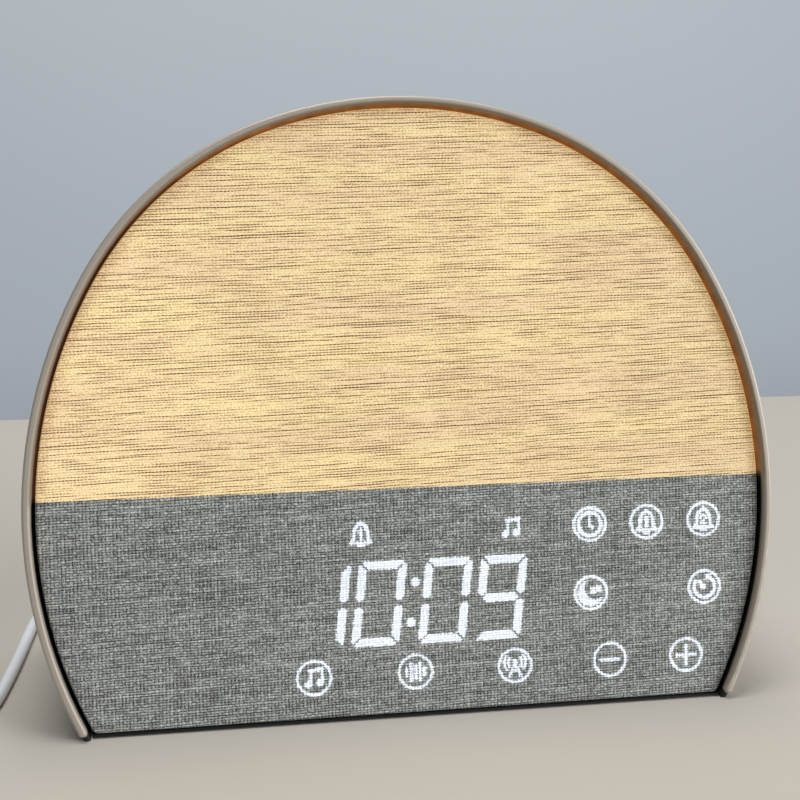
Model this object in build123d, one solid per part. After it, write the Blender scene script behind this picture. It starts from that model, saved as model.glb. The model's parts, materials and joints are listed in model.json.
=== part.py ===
from build123d import *
from math import acos, atan2, cos, degrees, pi, radians, sin, tan
import os

# Sunrise alarm clock. Millimetres, +X to the viewer's right, +Y to the rear, +Z up.
# The origin is on the table, below the middle of the case.
# The half-moon face leans back, and most pieces are drawn flat in the face's own frame:
# x across, y straight back from the cloth, z up the face, with its origin at the widest level.

# --- Case size -----------------------------------------------------------------------------
REAR = 36.0  # rear edge of the hoop
FRONT = -34.0  # just ahead of the hoop's front edge at the table
LEAN = 10.0  # degrees that the face leans back
FACE_HEIGHT = 52.85  # height of the face's origin above the table
FACE_Y = -21.9  # the face's origin, front to back
PAD = 0.45  # air under the base plate
HOOP_PAD = 1.6  # thickness of the pads under the hoop's ends
FOOT = 1.2  # thickness of the round feet, which are let into the base plate
SHELL_LONG = 75.0  # length of the hoop's raw bar behind the cloth, before it is cut at REAR
TIP_ROUND = 0.8  # rounding of the hoop's two ends
PAD_INSET, PAD_ROUND = 0.35, 0.6  # how far the pads lie inside the hoop's end faces

# --- Outline of the cloth: tangent arcs, from the crest down each side ---------------------
CREST_Z = 116.25
CREST_R, SHOULDER_R, SIDE_R = 110.4, 90.4, 129.7
CREST_TURN, SHOULDER_TURN = 18.5, 60.0  # how far the outline has turned where each arc ends
CLOTH_LOW = -52.5
DEEP = -78.0  # a level below the table, where raw pieces end before they are cut

# --- Front to back, in the face's frame ----------------------------------------------------
GAP = 0.9  # air between cloth and hoop
HOOP_OUT = 3.15  # outer face of the hoop, from the cloth's outline on the flanks
CROWN_PULL = 1.3  # how much tighter the hoop's outer shoulder arc is, which thins the crown
LIP = 2.8  # how far the hoop stands ahead of the cloth
LIP_ROUND = 0.82
CLOTH = 0.6  # cloth thickness
SKIRT = 7.0  # how far the cloth is folded round the frame
PANEL_BACK = 2.65  # back of the diffuser and of the display mask
LEDGE_FRONT, LEDGE_BACK = 11.0, 13.0  # the rib inside the hoop that the frame rests on
FRAME_RING = 2.9
BORDER_LOW, BORDER_HIGH = 9.9, 11.2  # the bar between the dark and the glowing part
TRAY_BACK = 14.0
BOARD = 1.6  # every circuit board
LAMP_BOARD_Y = TRAY_BACK + 0.05
GUIDE_BACK = 5.0
TOUCH_BOARD_Y = 5.7
MAIN_BOARD_Y = 20.0

# --- Rear cover, upright in the case's frame -----------------------------------------------
COVER = 2.5
COVER_OUT = REAR - 1.2
COVER_IN = COVER_OUT - COVER
COVER_GAP = 0.3
BASE_THIN_TOP, BASE_TOP = 0.95, 2.1
BASE_STEP = FRONT + 17.0  # the base plate is thin ahead of this, under the leaning front frame
COVER_LOW = BASE_TOP + 0.1
FRAME_LOW = BASE_THIN_TOP + 0.1

# --- Display -------------------------------------------------------------------------------
DIGIT_MID = -21.1
DIGIT_HEIGHT, DIGIT_WIDTH = 23.8, 13.5
DIGIT_SLANT = 7.0
DIGIT_X = (-25.7, -10.0, 8.8, 24.7)
SEGMENT, SEGMENT_GAP = 2.3, 0.35
COLON_X, COLON_RISE, COLON_R = -0.4, 5.65, 1.25
ICON_R = 5.1
ICON_LEFT, ICON_MIDDLE, ICON_RIGHT = 51.1, 68.0, 85.2
ICON_ROWS = (-1.6, -21.3, -40.9)
ICONS = (
    (ICON_LEFT, ICON_ROWS[0]),
    (ICON_MIDDLE, ICON_ROWS[0]),
    (ICON_RIGHT, ICON_ROWS[0]),
    (ICON_LEFT, ICON_ROWS[1]),
    (ICON_RIGHT, ICON_ROWS[1]),
    (56.4, ICON_ROWS[2]),
    (79.3, ICON_ROWS[2]),
    (-28.7, ICON_ROWS[2]),
    (-0.2, ICON_ROWS[2]),
    (28.4, ICON_ROWS[2]),
)
STATUS_ICONS = ((-14.7, -1.6), (28.0, -1.6))
STATUS_W, STATUS_H = 8.4, 7.4
WINDOW_PLAY = 0.1  # air round a light guide

# --- Snooze key on the crown ---------------------------------------------------------------
KEY_Y = 23.0
KEY_LENGTH, KEY_WIDTH = 40.0, 11.0
KEY_PLAY, KEY_RAISE, KEY_FLANGE, KEY_TRAVEL = 0.25, 0.9, 1.6, 0.8
KEY_BOARD_TOP = 103.0
SWITCH_HEIGHT = 3.6
PLUNGER_R, STEM_R = 1.7, 2.5
KEY_POST_X = 25.5

# --- Loudspeaker, on an axis straight back -------------------------------------------------
SPEAKER_Z = 86.85
SPEAKER_R, CONE_R, SURROUND_R = 26.0, 16.5, 21.5
MAGNET_R, MAGNET_H = 15.0, 7.0
COIL_R = 6.5
CONE_TRAVEL = 1.5

# --- Supply socket and lead ----------------------------------------------------------------
JACK_X, JACK_Z = -48.0, 14.35
BARREL_R, PIN_R = 2.75, 0.95
CORD_R = 1.75
CORD_FLOOR = 1.8  # height of the lead's middle where it lies on the table
COIL_X, COIL_Y = -151.0, -12.0
COIL_MID_R = 21.0  # 12 lead diameters across at the middle of the turns
COIL_HALF, COIL_HEIGHT = 5.4, 10.8

BASE_SCREWS = ((-62.0, 26.0), (62.0, 26.0))  # driven upwards into the rear cover
BASE_SEAT = PAD + 1.0
FEET = ((-78.0, -10.0), (-78.0, 22.0), (78.0, -10.0), (78.0, 22.0))
FOOT_R = 5.0
SCREW_TURNS = (-100.0, -62.0, -24.0, 24.0, 62.0, 100.0)  # rear cover screws, round the arch
FRAME_SCREW_TURNS = (-105.0, -84.0, -55.0, -30.0, -8.0, 8.0, 30.0, 55.0, 84.0, 105.0)
SCREW_INSET = 6.0
BOSS_FRONT = 16.8  # behind the lamp board

FACE = Location((0, FACE_Y, FACE_HEIGHT), (-LEAN, 0, 0))


# --- Drawing helpers -----------------------------------------------------------------------
def arc_of(turn, pull=0.0):
    """Centre and radius of the outline's arc at a turn from the crest, on the right side.

    A pull makes the shoulder arc tighter by so much. The flank stays and the crest comes down.
    """
    crest, shoulder = radians(CREST_TURN), radians(SHOULDER_TURN)
    centre = Vector(0, CREST_Z - CREST_R) + (CREST_R - SHOULDER_R) * Vector(sin(crest), cos(crest))
    centre = centre + pull * Vector(sin(shoulder), cos(shoulder))
    radius = SHOULDER_R - pull
    if abs(turn) <= CREST_TURN:
        return Vector(0, centre.Y - centre.X / tan(crest)), radius + centre.X / sin(crest)
    if abs(turn) <= SHOULDER_TURN:
        return centre, radius
    return centre + (radius - SIDE_R) * Vector(sin(shoulder), cos(shoulder)), SIDE_R


def arch_point(turn, grow=0.0, pull=0.0):
    """Point of the outline grown outwards, where it has turned by so much from the crest."""
    centre, radius = arc_of(turn, pull)
    a = radians(abs(turn))
    side = 1 if turn >= 0 else -1
    return (
        side * (centre.X + (radius + grow) * sin(a)),
        centre.Y + (radius + grow) * cos(a),
    )


def turn_at(level, grow):
    """Turn of the side arc where it comes down to a level."""
    centre, radius = arc_of(90)
    return degrees(acos((level - centre.Y) / (radius + grow)))


def arch_face(grow, low=DEEP, pull=0.0):
    """The half-moon outline, grown outwards and closed by a straight line at a low level."""
    last = turn_at(low, grow)
    turns = (-last, -SHOULDER_TURN, -CREST_TURN, CREST_TURN, SHOULDER_TURN, last)
    points = [arch_point(turn, grow, pull) for turn in turns]
    # the middle of each arc is read just inside it, so that it lies on that arc
    middles = [arch_point((a + b) / 2, grow, pull) for a, b in zip(turns, turns[1:])]
    edges = [
        ThreePointArc(start, middle, end)
        for start, middle, end in zip(points, middles, points[1:])
    ]
    edges.append(Line(points[-1], points[0]))
    return Plane.XZ * make_face(edges)


def back(face, y0, y1):
    """Extrudes a face of the XZ plane straight back, from y0 to y1."""
    return Pos(0, y0, 0) * extrude(face, amount=y1 - y0, dir=(0, 1, 0))


def block(x0, x1, y0, y1, z0, z1):
    return Pos((x0 + x1) / 2, (y0 + y1) / 2, (z0 + z1) / 2) * Box(x1 - x0, y1 - y0, z1 - z0)


def rod(x, z, y0, y1, radius):
    """Round bar along Y."""
    bar = Cylinder(radius, y1 - y0, align=(Align.CENTER, Align.CENTER, Align.MIN))
    return Pos(x, y0, z) * Rot(-90, 0, 0) * bar


def taper(x, z, y0, y1, r0, r1):
    """Round bar along Y that changes radius from its front to its rear end."""
    bar = Cone(r0, r1, y1 - y0, align=(Align.CENTER, Align.CENTER, Align.MIN))
    return Pos(x, y0, z) * Rot(-90, 0, 0) * bar


def pipe(x, z, y0, y1, outer, inner):
    return rod(x, z, y0, y1, outer) - rod(x, z, y0 - 1, y1 + 1, inner)


def post(x, y, z0, z1, radius):
    """Round bar along Z."""
    bar = Cylinder(radius, z1 - z0, align=(Align.CENTER, Align.CENTER, Align.MIN))
    return Pos(x, y, z0) * bar


def above(level):
    """Everything above a level of the case's frame."""
    return block(-200, 200, -100, 100, level, 300)


def upper(level):
    """Everything above a level of the face's frame."""
    return block(-200, 200, -50, 150, level, 300)


def arch_bar(grow_out, grow_in, y0, y1):
    """Bar that follows the arch between two outlines, open at the bottom."""
    return back(arch_face(grow_out), y0, y1) - back(arch_face(grow_in), y0 - 1, y1 + 1)


def cover_depth(z):
    """How far back, in the face's frame, the cover's outer face is at a level of the face."""
    return (COVER_OUT - FACE_Y - z * sin(radians(LEAN))) / cos(radians(LEAN))


def spread(shapes):
    """Several separate solids in one node."""
    return Compound([solid for shape in shapes for solid in shape.solids()])


# --- Case ----------------------------------------------------------------------------------
def screw_places():
    """Rear cover screws: x, z and depth of the head's seat, in the face's frame."""
    places = []
    for turn in SCREW_TURNS:
        x, z = arch_point(turn, -SCREW_INSET)
        places.append((x, z, cover_depth(z) - 6.0))
    return places


def hoop_bar(y0, y1, inset=0.0):
    """The hoop's own section between two depths, thinned by an inset on both faces."""
    outside = back(arch_face(HOOP_OUT - inset, pull=CROWN_PULL), y0, y1)
    return outside - back(arch_face(GAP + inset), y0 - 1, y1 + 1)


def make_outer_shell():
    hoop = hoop_bar(-LIP, SHELL_LONG)
    lip = [edge for edge in hoop.edges() if edge.center().Y < -LIP + 0.01]
    hoop = fillet([edge for edge in lip if edge.geom_type == GeomType.CIRCLE], LIP_ROUND)
    hoop += arch_bar(GAP + 0.5, -3.4, LEDGE_FRONT, LEDGE_BACK) & upper(-45)
    for x, z, seat in screw_places():
        hoop += rod(x, z, BOSS_FRONT, seat - 2.05, 3.4)
    for turn, (x, z, seat) in zip(SCREW_TURNS, screw_places()):
        rib = block(-1, 1, BOSS_FRONT, seat - 2.05, 0, SCREW_INSET + 1)
        hoop += Pos(x, 0, z) * Rot(0, turn, 0) * rib
    for x, z, seat in screw_places():
        hoop -= rod(x, z, seat - 12, seat, 1.15)
    for turn in FRAME_SCREW_TURNS:
        x, z = arch_point(turn, -2.0)
        hoop -= rod(x, z, LEDGE_FRONT - 1, LEDGE_BACK + 1, 0.95)
    for side in (-1, 1):
        hoop += post(side * KEY_POST_X, KEY_Y, KEY_BOARD_TOP + 0.05, CREST_Z - 1.5, 2.2)
        hoop -= post(side * KEY_POST_X, KEY_Y, KEY_BOARD_TOP - 1, KEY_BOARD_TOP + 7, 0.85)
    hoop -= key_slot(KEY_LENGTH, KEY_WIDTH, CREST_Z - 4, CREST_Z + 20)
    hoop = FACE * hoop
    hoop &= block(-200, 200, -100, REAR, HOOP_PAD, 300)
    return round_tips(hoop)


def round_tips(hoop):
    """Softens the two end faces of the hoop, just above the pads."""
    return fillet([edge for edge in hoop.edges() if edge.center().Z < HOOP_PAD + 0.01], TIP_ROUND)


def key_slot(length, width, z0, z1):
    sketch = Plane.XY * SlotOverall(length, width)
    return Pos(0, KEY_Y, z0) * extrude(sketch, amount=z1 - z0)


def make_front_frame():
    ring = arch_bar(-CLOTH - 0.1, -CLOTH - 0.1 - FRAME_RING, PANEL_BACK + 0.05, LEDGE_FRONT - 0.05)
    foot = block(-100, 100, PANEL_BACK + 0.05, LEDGE_FRONT - 0.05, CLOTH_LOW + CLOTH, CLOTH_LOW + 4.2)
    bar = block(-110, 110, CLOTH + 0.05, LEDGE_FRONT - 0.05, BORDER_LOW, BORDER_HIGH)
    inside = back(arch_face(-CLOTH - 0.1), 0, 20)
    frame = (ring & upper(CLOTH_LOW + CLOTH)) + ((foot + bar) & inside)
    for turn in FRAME_SCREW_TURNS:
        x, z = arch_point(turn, -2.0)
        frame -= rod(x, z, LEDGE_FRONT - 6, LEDGE_FRONT + 1, 0.9)
    return FACE * frame & above(FRAME_LOW)


def make_front_fabric():
    face = back(arch_face(0, CLOTH_LOW), 0, CLOTH)
    skirt = arch_bar(0, -CLOTH, 0, SKIRT) & upper(CLOTH_LOW)
    return FACE * (face + skirt) & above(FRAME_LOW - 0.05)


def make_light_diffuser():
    panel = back(arch_face(-CLOTH - 0.1), CLOTH + 0.05, PANEL_BACK) & upper(BORDER_HIGH + 0.1)
    return FACE * panel


def make_display_mask():
    panel = back(arch_face(-CLOTH - 0.1), CLOTH + 0.05, PANEL_BACK)
    panel &= block(-200, 200, -1, 5, CLOTH_LOW + CLOTH, BORDER_LOW - 0.1)
    panel -= segment_bars(WINDOW_PLAY, 0, 5)
    panel -= [rod(x, z, 0, 5, ICON_R + WINDOW_PLAY) for x, z in ICONS]
    panel -= status_blocks(WINDOW_PLAY, 0, 5)
    return FACE * panel & above(FRAME_LOW)


def make_base_plate():
    inside = FACE * back(arch_face(GAP - COVER_GAP), -0.3, 90)
    tongue = block(-150, 150, FRONT, COVER_OUT, PAD, BASE_THIN_TOP)
    plate = block(-150, 150, BASE_STEP, COVER_OUT, PAD, BASE_TOP)
    base = (tongue + plate) & inside
    for x, y in BASE_SCREWS:
        base -= post(x, y, PAD - 1, BASE_TOP + 1, 1.4)
        base -= post(x, y, PAD - 1, BASE_SEAT, 2.9)
    base -= [post(x, y, PAD - 1, FOOT, FOOT_R + 0.1) for x, y in FEET]
    return base


def make_edge_pads():
    """Rubber strips under the two ends of the hoop."""
    strip = block(-200, 200, FRONT + 2 * TIP_ROUND, REAR - TIP_ROUND, 0, HOOP_PAD)
    pads = FACE * hoop_bar(-20, SHELL_LONG, PAD_INSET) & strip
    upright = [edge for edge in pads.edges() if abs(edge.center().Z - HOOP_PAD / 2) < 0.01]
    return spread(fillet(upright, PAD_ROUND).solids())


def make_rubber_feet():
    return spread(post(x, y, 0, FOOT, FOOT_R) for x, y in FEET)


# --- Glowing part --------------------------------------------------------------------------
LED_PITCH = 24.0


def led_places():
    """A square grid of lamps that fits inside the tray."""
    places = []
    for row, level in enumerate((24.0, 46.0, 68.0, 90.0)):
        count = (8, 7, 6, 4)[row]
        for i in range(count):
            places.append(((i - (count - 1) / 2) * LED_PITCH, level))
    return places


def make_light_tray():
    wall = arch_bar(-3.8, -5.0, PANEL_BACK + 0.1, TRAY_BACK) & upper(BORDER_HIGH + 0.2)
    inside = back(arch_face(-3.8), PANEL_BACK + 0.1, TRAY_BACK)
    sill = block(-110, 110, PANEL_BACK + 0.1, TRAY_BACK, BORDER_HIGH + 0.2, BORDER_HIGH + 1.4) & inside
    floor = back(arch_face(-4), TRAY_BACK - 1.5, TRAY_BACK) & upper(BORDER_HIGH + 0.2)
    flange = arch_bar(-0.2, -4.0, LEDGE_BACK + 0.05, TRAY_BACK) & upper(BORDER_HIGH + 0.2)
    tray = wall + sill + floor + flange
    tray -= [rod(x, z, 0, TRAY_BACK + 1, 2.6) for x, z in led_places()]
    for turn in FRAME_SCREW_TURNS:
        x, z = arch_point(turn, -2.0)
        tray -= rod(x, z, LEDGE_BACK - 1, TRAY_BACK + 1, 1.1)
    for x, z in tray_pegs():
        tray += rod(x, z, TRAY_BACK - 1, LAMP_BOARD_Y + BOARD + 1.2, 1.2)
    return FACE * tray


def tray_pegs():
    return [(-60.0, 35.0), (60.0, 35.0), (-36.0, 79.0), (36.0, 79.0)]


def make_lamp_board():
    board = back(arch_face(-6), LAMP_BOARD_Y, LAMP_BOARD_Y + BOARD) & upper(14)
    board -= [rod(x, z, 0, 30, 1.35) for x, z in tray_pegs()]
    return FACE * board


def make_warm_leds():
    return FACE * spread(
        block(x - 1.75, x + 1.75, LAMP_BOARD_Y - 0.9, LAMP_BOARD_Y, z - 1.4, z + 1.4)
        for x, z in led_places()
    )


# --- Display and touch board ---------------------------------------------------------------
def segment_shapes(grow):
    """Corners of the seven bars of an upright digit: mitred at its corners, pointed at its waist."""
    w, h = DIGIT_WIDTH / 2 + grow, DIGIT_HEIGHT / 2 + grow
    s = SEGMENT + 2 * grow
    g = SEGMENT_GAP - grow
    top = [(-w + g, h), (w - g, h), (w - s - g, h - s), (-w + s + g, h - s)]
    waist = [
        (-w + s / 2 + g, 0),
        (-w + s + g, s / 2),
        (w - s - g, s / 2),
        (w - s / 2 - g, 0),
        (w - s - g, -s / 2),
        (-w + s + g, -s / 2),
    ]
    side = [(w, h - g), (w, s / 2 + g), (w - s / 2, g), (w - s, s / 2 + g), (w - s, h - s - g)]
    sides = [[(x * across, z * up) for x, z in side] for across in (-1, 1) for up in (-1, 1)]
    return [top, [(x, -z) for x, z in top], waist] + sides


def segment_bars(grow, y0, y1):
    """Seven bars for each digit and two dots between, slanted, as bars along Y."""
    lean = tan(radians(DIGIT_SLANT))
    bars = []
    for centre_x in DIGIT_X:
        for shape in segment_shapes(grow):
            points = [(centre_x + x + z * lean, DIGIT_MID + z) for x, z in shape]
            bars.append(back(Plane.XZ * make_face(Polyline(points, close=True)), y0, y1))
    for rise in (-COLON_RISE, COLON_RISE):
        x = COLON_X + rise * lean
        bars.append(rod(x, DIGIT_MID + rise, y0, y1, COLON_R + grow))
    return bars


def status_blocks(grow, y0, y1):
    w, h = STATUS_W / 2 + grow, STATUS_H / 2 + grow
    return [block(x - w, x + w, y0, y1, z - h, z + h) for x, z in STATUS_ICONS]


def make_digit_guides():
    return FACE * spread(segment_bars(0, CLOTH + 0.05, GUIDE_BACK))


def make_icon_guides():
    discs = [rod(x, z, CLOTH + 0.05, GUIDE_BACK, ICON_R) for x, z in ICONS]
    return FACE * spread(discs + status_blocks(0, CLOTH + 0.05, GUIDE_BACK))


def make_display_housing():
    x0, x1 = DIGIT_X[0] - 10, DIGIT_X[-1] + 10
    body = block(x0, x1, PANEL_BACK + 0.05, GUIDE_BACK, -34.6, 3.4)
    body -= segment_bars(WINDOW_PLAY, 0, 9)
    body -= status_blocks(WINDOW_PLAY, 0, 9)
    body -= [rod(x, z, 0, 9, ICON_R + WINDOW_PLAY) for x, z in ICONS]
    return FACE * body


def make_touch_board():
    board = back(arch_face(-5), TOUCH_BOARD_Y, TOUCH_BOARD_Y + BOARD)
    board &= block(-200, 200, 0, 50, CLOTH_LOW + 4.6, BORDER_LOW - 0.6)
    return FACE * board


def display_led_places():
    half_w, half_h = DIGIT_WIDTH / 2 - SEGMENT / 2, DIGIT_HEIGHT / 2 - SEGMENT / 2
    lean = tan(radians(DIGIT_SLANT))
    spots = [(0, half_h), (0, 0), (0, -half_h)]
    spots += [(x, z) for x in (-half_w, half_w) for z in (-half_h / 2, half_h / 2)]
    places = [(cx + x + z * lean, DIGIT_MID + z) for cx in DIGIT_X for x, z in spots]
    return places + list(ICONS) + list(STATUS_ICONS)


def make_display_leds():
    return FACE * spread(
        block(x - 0.8, x + 0.8, GUIDE_BACK + 0.05, TOUCH_BOARD_Y, z - 0.4, z + 0.4)
        for x, z in display_led_places()
    )


def make_display_ribbon():
    """Flat cable from the touch board back to the main board, with two round bends."""
    path = FilletPolyline(
        (0, TOUCH_BOARD_Y + BOARD + 0.2, -38),
        (0, 12.5, -38),
        (0, 12.5, -26),
        (0, MAIN_BOARD_Y - 1.6, -26),
        radius=2.0,
    )
    section = Plane(path @ 0, z_dir=path % 0, x_dir=(1, 0, 0)) * Rectangle(16, 0.3)
    ribbon = sweep(section, path)
    socket_front = block(-9, 9, TOUCH_BOARD_Y + BOARD, TOUCH_BOARD_Y + BOARD + 2.0, -39.5, -36.5)
    socket_back = block(-9, 9, MAIN_BOARD_Y - 2.0, MAIN_BOARD_Y, -27.5, -24.5)
    return FACE * (ribbon + socket_front + socket_back)


# --- Main board ----------------------------------------------------------------------------
BOARD_HALF_X, BOARD_LOW, BOARD_HIGH = 64.0, -42.0, 2.0
BOARD_SCREW_X, BOARD_SCREW_Z = 59.0, (-37.0, -3.0)


def board_screw_places():
    return [(side * BOARD_SCREW_X, z) for side in (-1, 1) for z in BOARD_SCREW_Z]


def make_main_board():
    board = block(-BOARD_HALF_X, BOARD_HALF_X, MAIN_BOARD_Y, MAIN_BOARD_Y + BOARD, BOARD_LOW, BOARD_HIGH)
    board -= [rod(x, z, 0, 40, 1.5) for x, z in board_screw_places()]
    return FACE * board


def on_board(x, z, w, h, tall):
    """A box standing on the rear side of the main board."""
    y = MAIN_BOARD_Y + BOARD
    return block(x - w / 2, x + w / 2, y, y + tall, z - h / 2, z + h / 2)


def make_board_chips():
    chips = [(-30, -12, 12, 12, 1.4), (4, -30, 9, 7, 1.2), (40, -30, 7, 10, 1.5), (-8, -8, 5, 4, 1.2)]
    return FACE * spread(on_board(*chip) for chip in chips)


def make_radio_module():
    carrier = on_board(22, -10, 20, 15, 0.8)
    y = MAIN_BOARD_Y + BOARD + 0.8
    can = block(14, 28, y, y + 2.0, -16.5, -3.5)
    return FACE * (carrier + can)


def make_board_capacitors():
    y = MAIN_BOARD_Y + BOARD
    places = [(-48, -12), (-40, -32), (-30, -33), (50, -14)]
    return FACE * spread(rod(x, z, y, y + 8.0, 3.1) for x, z in places)


CONNECTORS = {"lamp": (-52.0, -1.5), "speaker": (36.0, -2.0), "jack": (-52.0, -36.0), "key": (44.0, -2.0)}


def make_board_connectors():
    return FACE * spread(on_board(x, z, 7.5, 4.5, 5.0) for x, z in CONNECTORS.values())


# --- Screws --------------------------------------------------------------------------------
def screw(x, z, seat, head_r, head_h, shank_r, length, forward=True):
    """Pan-head screw along Y, with a cross-shaped recess in its head."""
    way = -1 if forward else 1
    head = rod(x, z, min(seat, seat - way * head_h), max(seat, seat - way * head_h), head_r)
    shank = rod(x, z, min(seat, seat + way * length), max(seat, seat + way * length), shank_r)
    top = seat - way * head_h
    low, high = min(top, top + way * 0.9), max(top, top + way * 0.9)
    cross = block(x - head_r * 0.6, x + head_r * 0.6, low, high, z - 0.3, z + 0.3)
    cross += block(x - 0.3, x + 0.3, low, high, z - head_r * 0.6, z + head_r * 0.6)
    return head + shank - cross


def make_case_screws():
    return FACE * spread(screw(x, z, seat, 2.7, 2.0, 1.1, 10) for x, z, seat in screw_places())


def make_frame_screws():
    screws = []
    for turn in FRAME_SCREW_TURNS:
        x, z = arch_point(turn, -2.0)
        seat = TRAY_BACK if z > BORDER_HIGH else LEDGE_BACK
        screws.append(screw(x, z, seat + 0.05, 1.7, 1.3, 0.85, seat - LEDGE_FRONT + 5))
    return FACE * spread(screws)


def make_board_screws():
    return FACE * spread(
        screw(x, z, MAIN_BOARD_Y - 0.05, 2.4, 1.6, 1.1, 8, forward=False)
        for x, z in board_screw_places()
    )


def upright_screw(x, y, seat, head_r, head_h, shank_r, length):
    """Screw driven upwards from below, its head under the seat."""
    head = post(x, y, seat - head_h, seat, head_r)
    cross = block(x - head_r * 0.6, x + head_r * 0.6, y - 0.3, y + 0.3, seat - head_h, seat - head_h + 0.5)
    return head + post(x, y, seat, seat + length, shank_r) - cross


def make_base_screws():
    return spread(upright_screw(x, y, BASE_SEAT, 2.4, 0.8, 1.05, 6.0) for x, y in BASE_SCREWS)


def make_snooze_board_screws():
    return FACE * spread(
        upright_screw(side * KEY_POST_X, KEY_Y, KEY_BOARD_TOP - BOARD - 0.05, 1.6, 1.2, 0.8, 7)
        for side in (-1, 1)
    )


# --- Rear cover ----------------------------------------------------------------------------
GRILLE_PITCH, GRILLE_HOLE, GRILLE_R = 3.9, 1.1, 19.5
DOOR_X, DOOR_Z, DOOR_W, DOOR_H = 40.0, 31.85, 27.0, 32.0
DOOR_SCREW_Z = DOOR_Z - DOOR_H / 2 + 3.6
POCKET_FLOOR = COVER_OUT - 7.2
CELL_R, CELL_H = 10.0, 3.2
JACK_WELL_R, JACK_WELL = 9.5, 3.4


def grille_places():
    """Hexagonal grid of sound holes inside a circle."""
    places = []
    rows = int(GRILLE_R / (GRILLE_PITCH * 0.866))
    for row in range(-rows, rows + 1):
        for column in range(-rows - 1, rows + 2):
            x = (column + (row % 2) / 2) * GRILLE_PITCH
            z = row * GRILLE_PITCH * 0.866
            if x * x + z * z <= GRILLE_R**2:
                places.append((x, SPEAKER_Z + z))
    return places


def speaker_screw_places():
    reach = SPEAKER_R - 1.7
    return [
        (reach * cos(radians(a)), SPEAKER_Z + reach * sin(radians(a))) for a in (45, 135, 225, 315)
    ]


def make_rear_cover():
    inside = FACE * back(arch_face(GAP - COVER_GAP), -10, 90)
    hollow = FACE * back(arch_face(GAP - COVER_GAP - 1.6), -10, 91)
    plate = block(-200, 200, COVER_IN, COVER_OUT, COVER_LOW, 300) & inside
    rim = (block(-200, 200, COVER_IN - 4, COVER_IN, COVER_LOW, 300) & inside) - hollow
    cover = plate + rim
    # screw wells, drawn along the face's axis as the mould opens
    keep = block(-200, 200, -50, COVER_IN + 0.5, COVER_LOW, 300)
    for x, z, seat in screw_places():
        well = rod(x, z, seat - 2.0, seat + 20, 4.0)
        cover += (FACE * well & keep) & inside
    for x, z, seat in screw_places():
        cover -= FACE * (rod(x, z, seat, seat + 30, 3.1) + rod(x, z, seat - 5, seat + 5, 1.3))
    # posts for the main board
    for x, z in board_screw_places():
        cover += FACE * rod(x, z, MAIN_BOARD_Y + BOARD + 0.05, 75, 2.9) & keep
    for x, z in board_screw_places():
        cover -= FACE * rod(x, z, MAIN_BOARD_Y, MAIN_BOARD_Y + 12, 1.15)
    # loudspeaker seat and sound holes
    cover += pipe(0, SPEAKER_Z, COVER_IN - 1.5, COVER_IN, SPEAKER_R + 2.2, SPEAKER_R + 0.4)
    cover -= [rod(x, z, COVER_IN - 1, COVER_OUT + 1, GRILLE_HOLE) for x, z in grille_places()]
    cover -= [rod(x, z, COVER_IN - 1, COVER_IN + 1.7, 0.85) for x, z in speaker_screw_places()]
    # battery pocket
    cover += door_block(1.5, POCKET_FLOOR - 1.5, COVER_IN)
    cover -= door_block(-2.0, POCKET_FLOOR, COVER_OUT + 1) + door_block(0, COVER_OUT - 1.8, COVER_OUT + 1)
    cover += rod(DOOR_X, DOOR_SCREW_Z, POCKET_FLOOR - 1, COVER_OUT - 1.85, 2.2)
    cover -= rod(DOOR_X, DOOR_SCREW_Z, POCKET_FLOOR + 0.5, COVER_OUT, 0.85)
    # recessed seat of the supply socket
    cover += rod(JACK_X, JACK_Z, COVER_IN - JACK_WELL, COVER_IN, JACK_WELL_R + 1.6) & above(COVER_LOW)
    cover -= rod(JACK_X, JACK_Z, COVER_OUT - JACK_WELL, COVER_OUT + 1, JACK_WELL_R)
    cover -= rod(JACK_X, JACK_Z, 10, COVER_OUT, 4.05)
    # blank label field, a shallow recess
    cover -= block(-30, 18, COVER_OUT - 0.4, COVER_OUT + 1, 30, 48)
    # lugs that the base plate screws into
    for x, y in BASE_SCREWS:
        cover += block(x - 4, x + 4, y - 4, COVER_IN + 0.5, COVER_LOW, COVER_LOW + 8)
        cover -= post(x, y, BASE_TOP - 1, BASE_TOP + 7, 1.15)
    return cover


def door_block(grow, y0, y1):
    """Block with the outline of the battery door, grown outwards."""
    w, h = DOOR_W / 2 + grow, DOOR_H / 2 + grow
    return block(DOOR_X - w, DOOR_X + w, y0, y1, DOOR_Z - h, DOOR_Z + h)


def make_battery_door():
    door = door_block(-0.15, COVER_OUT - 1.75, COVER_OUT)
    door = fillet(door.edges().filter_by(Axis.Y), 1.0)
    door -= rod(DOOR_X, DOOR_SCREW_Z, COVER_OUT - 3, COVER_OUT + 1, 1.1)
    door -= rod(DOOR_X, DOOR_SCREW_Z, COVER_OUT - 1.1, COVER_OUT + 1, 1.9)
    for i in range(5):
        z = DOOR_Z + 7 + i * 1.3
        door -= block(DOOR_X - 6, DOOR_X + 6, COVER_OUT - 0.4, COVER_OUT + 1, z, z + 0.6)
    return door


def make_battery_door_screw():
    return screw(DOOR_X, DOOR_SCREW_Z, COVER_OUT - 1.05, 1.75, 1.0, 0.8, 4)


def cell_centre():
    return DOOR_X, DOOR_Z + 3.0


def make_coin_cell():
    x, z = cell_centre()
    cell = rod(x, z, POCKET_FLOOR + 0.9, POCKET_FLOOR + 0.9 + CELL_H, CELL_R)
    return fillet(cell.edges(), 0.3)


def make_battery_contacts():
    x, z = cell_centre()
    floor_strip = block(x - 2.5, x + 2.5, POCKET_FLOOR + 0.05, POCKET_FLOOR + 0.85, z - 6, z + 6)
    y = POCKET_FLOOR + 0.9
    side_strip = block(x - 3, x + 3, y, y + 3.0, z + CELL_R + 0.05, z + CELL_R + 0.45)
    return spread([floor_strip, side_strip])


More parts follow.
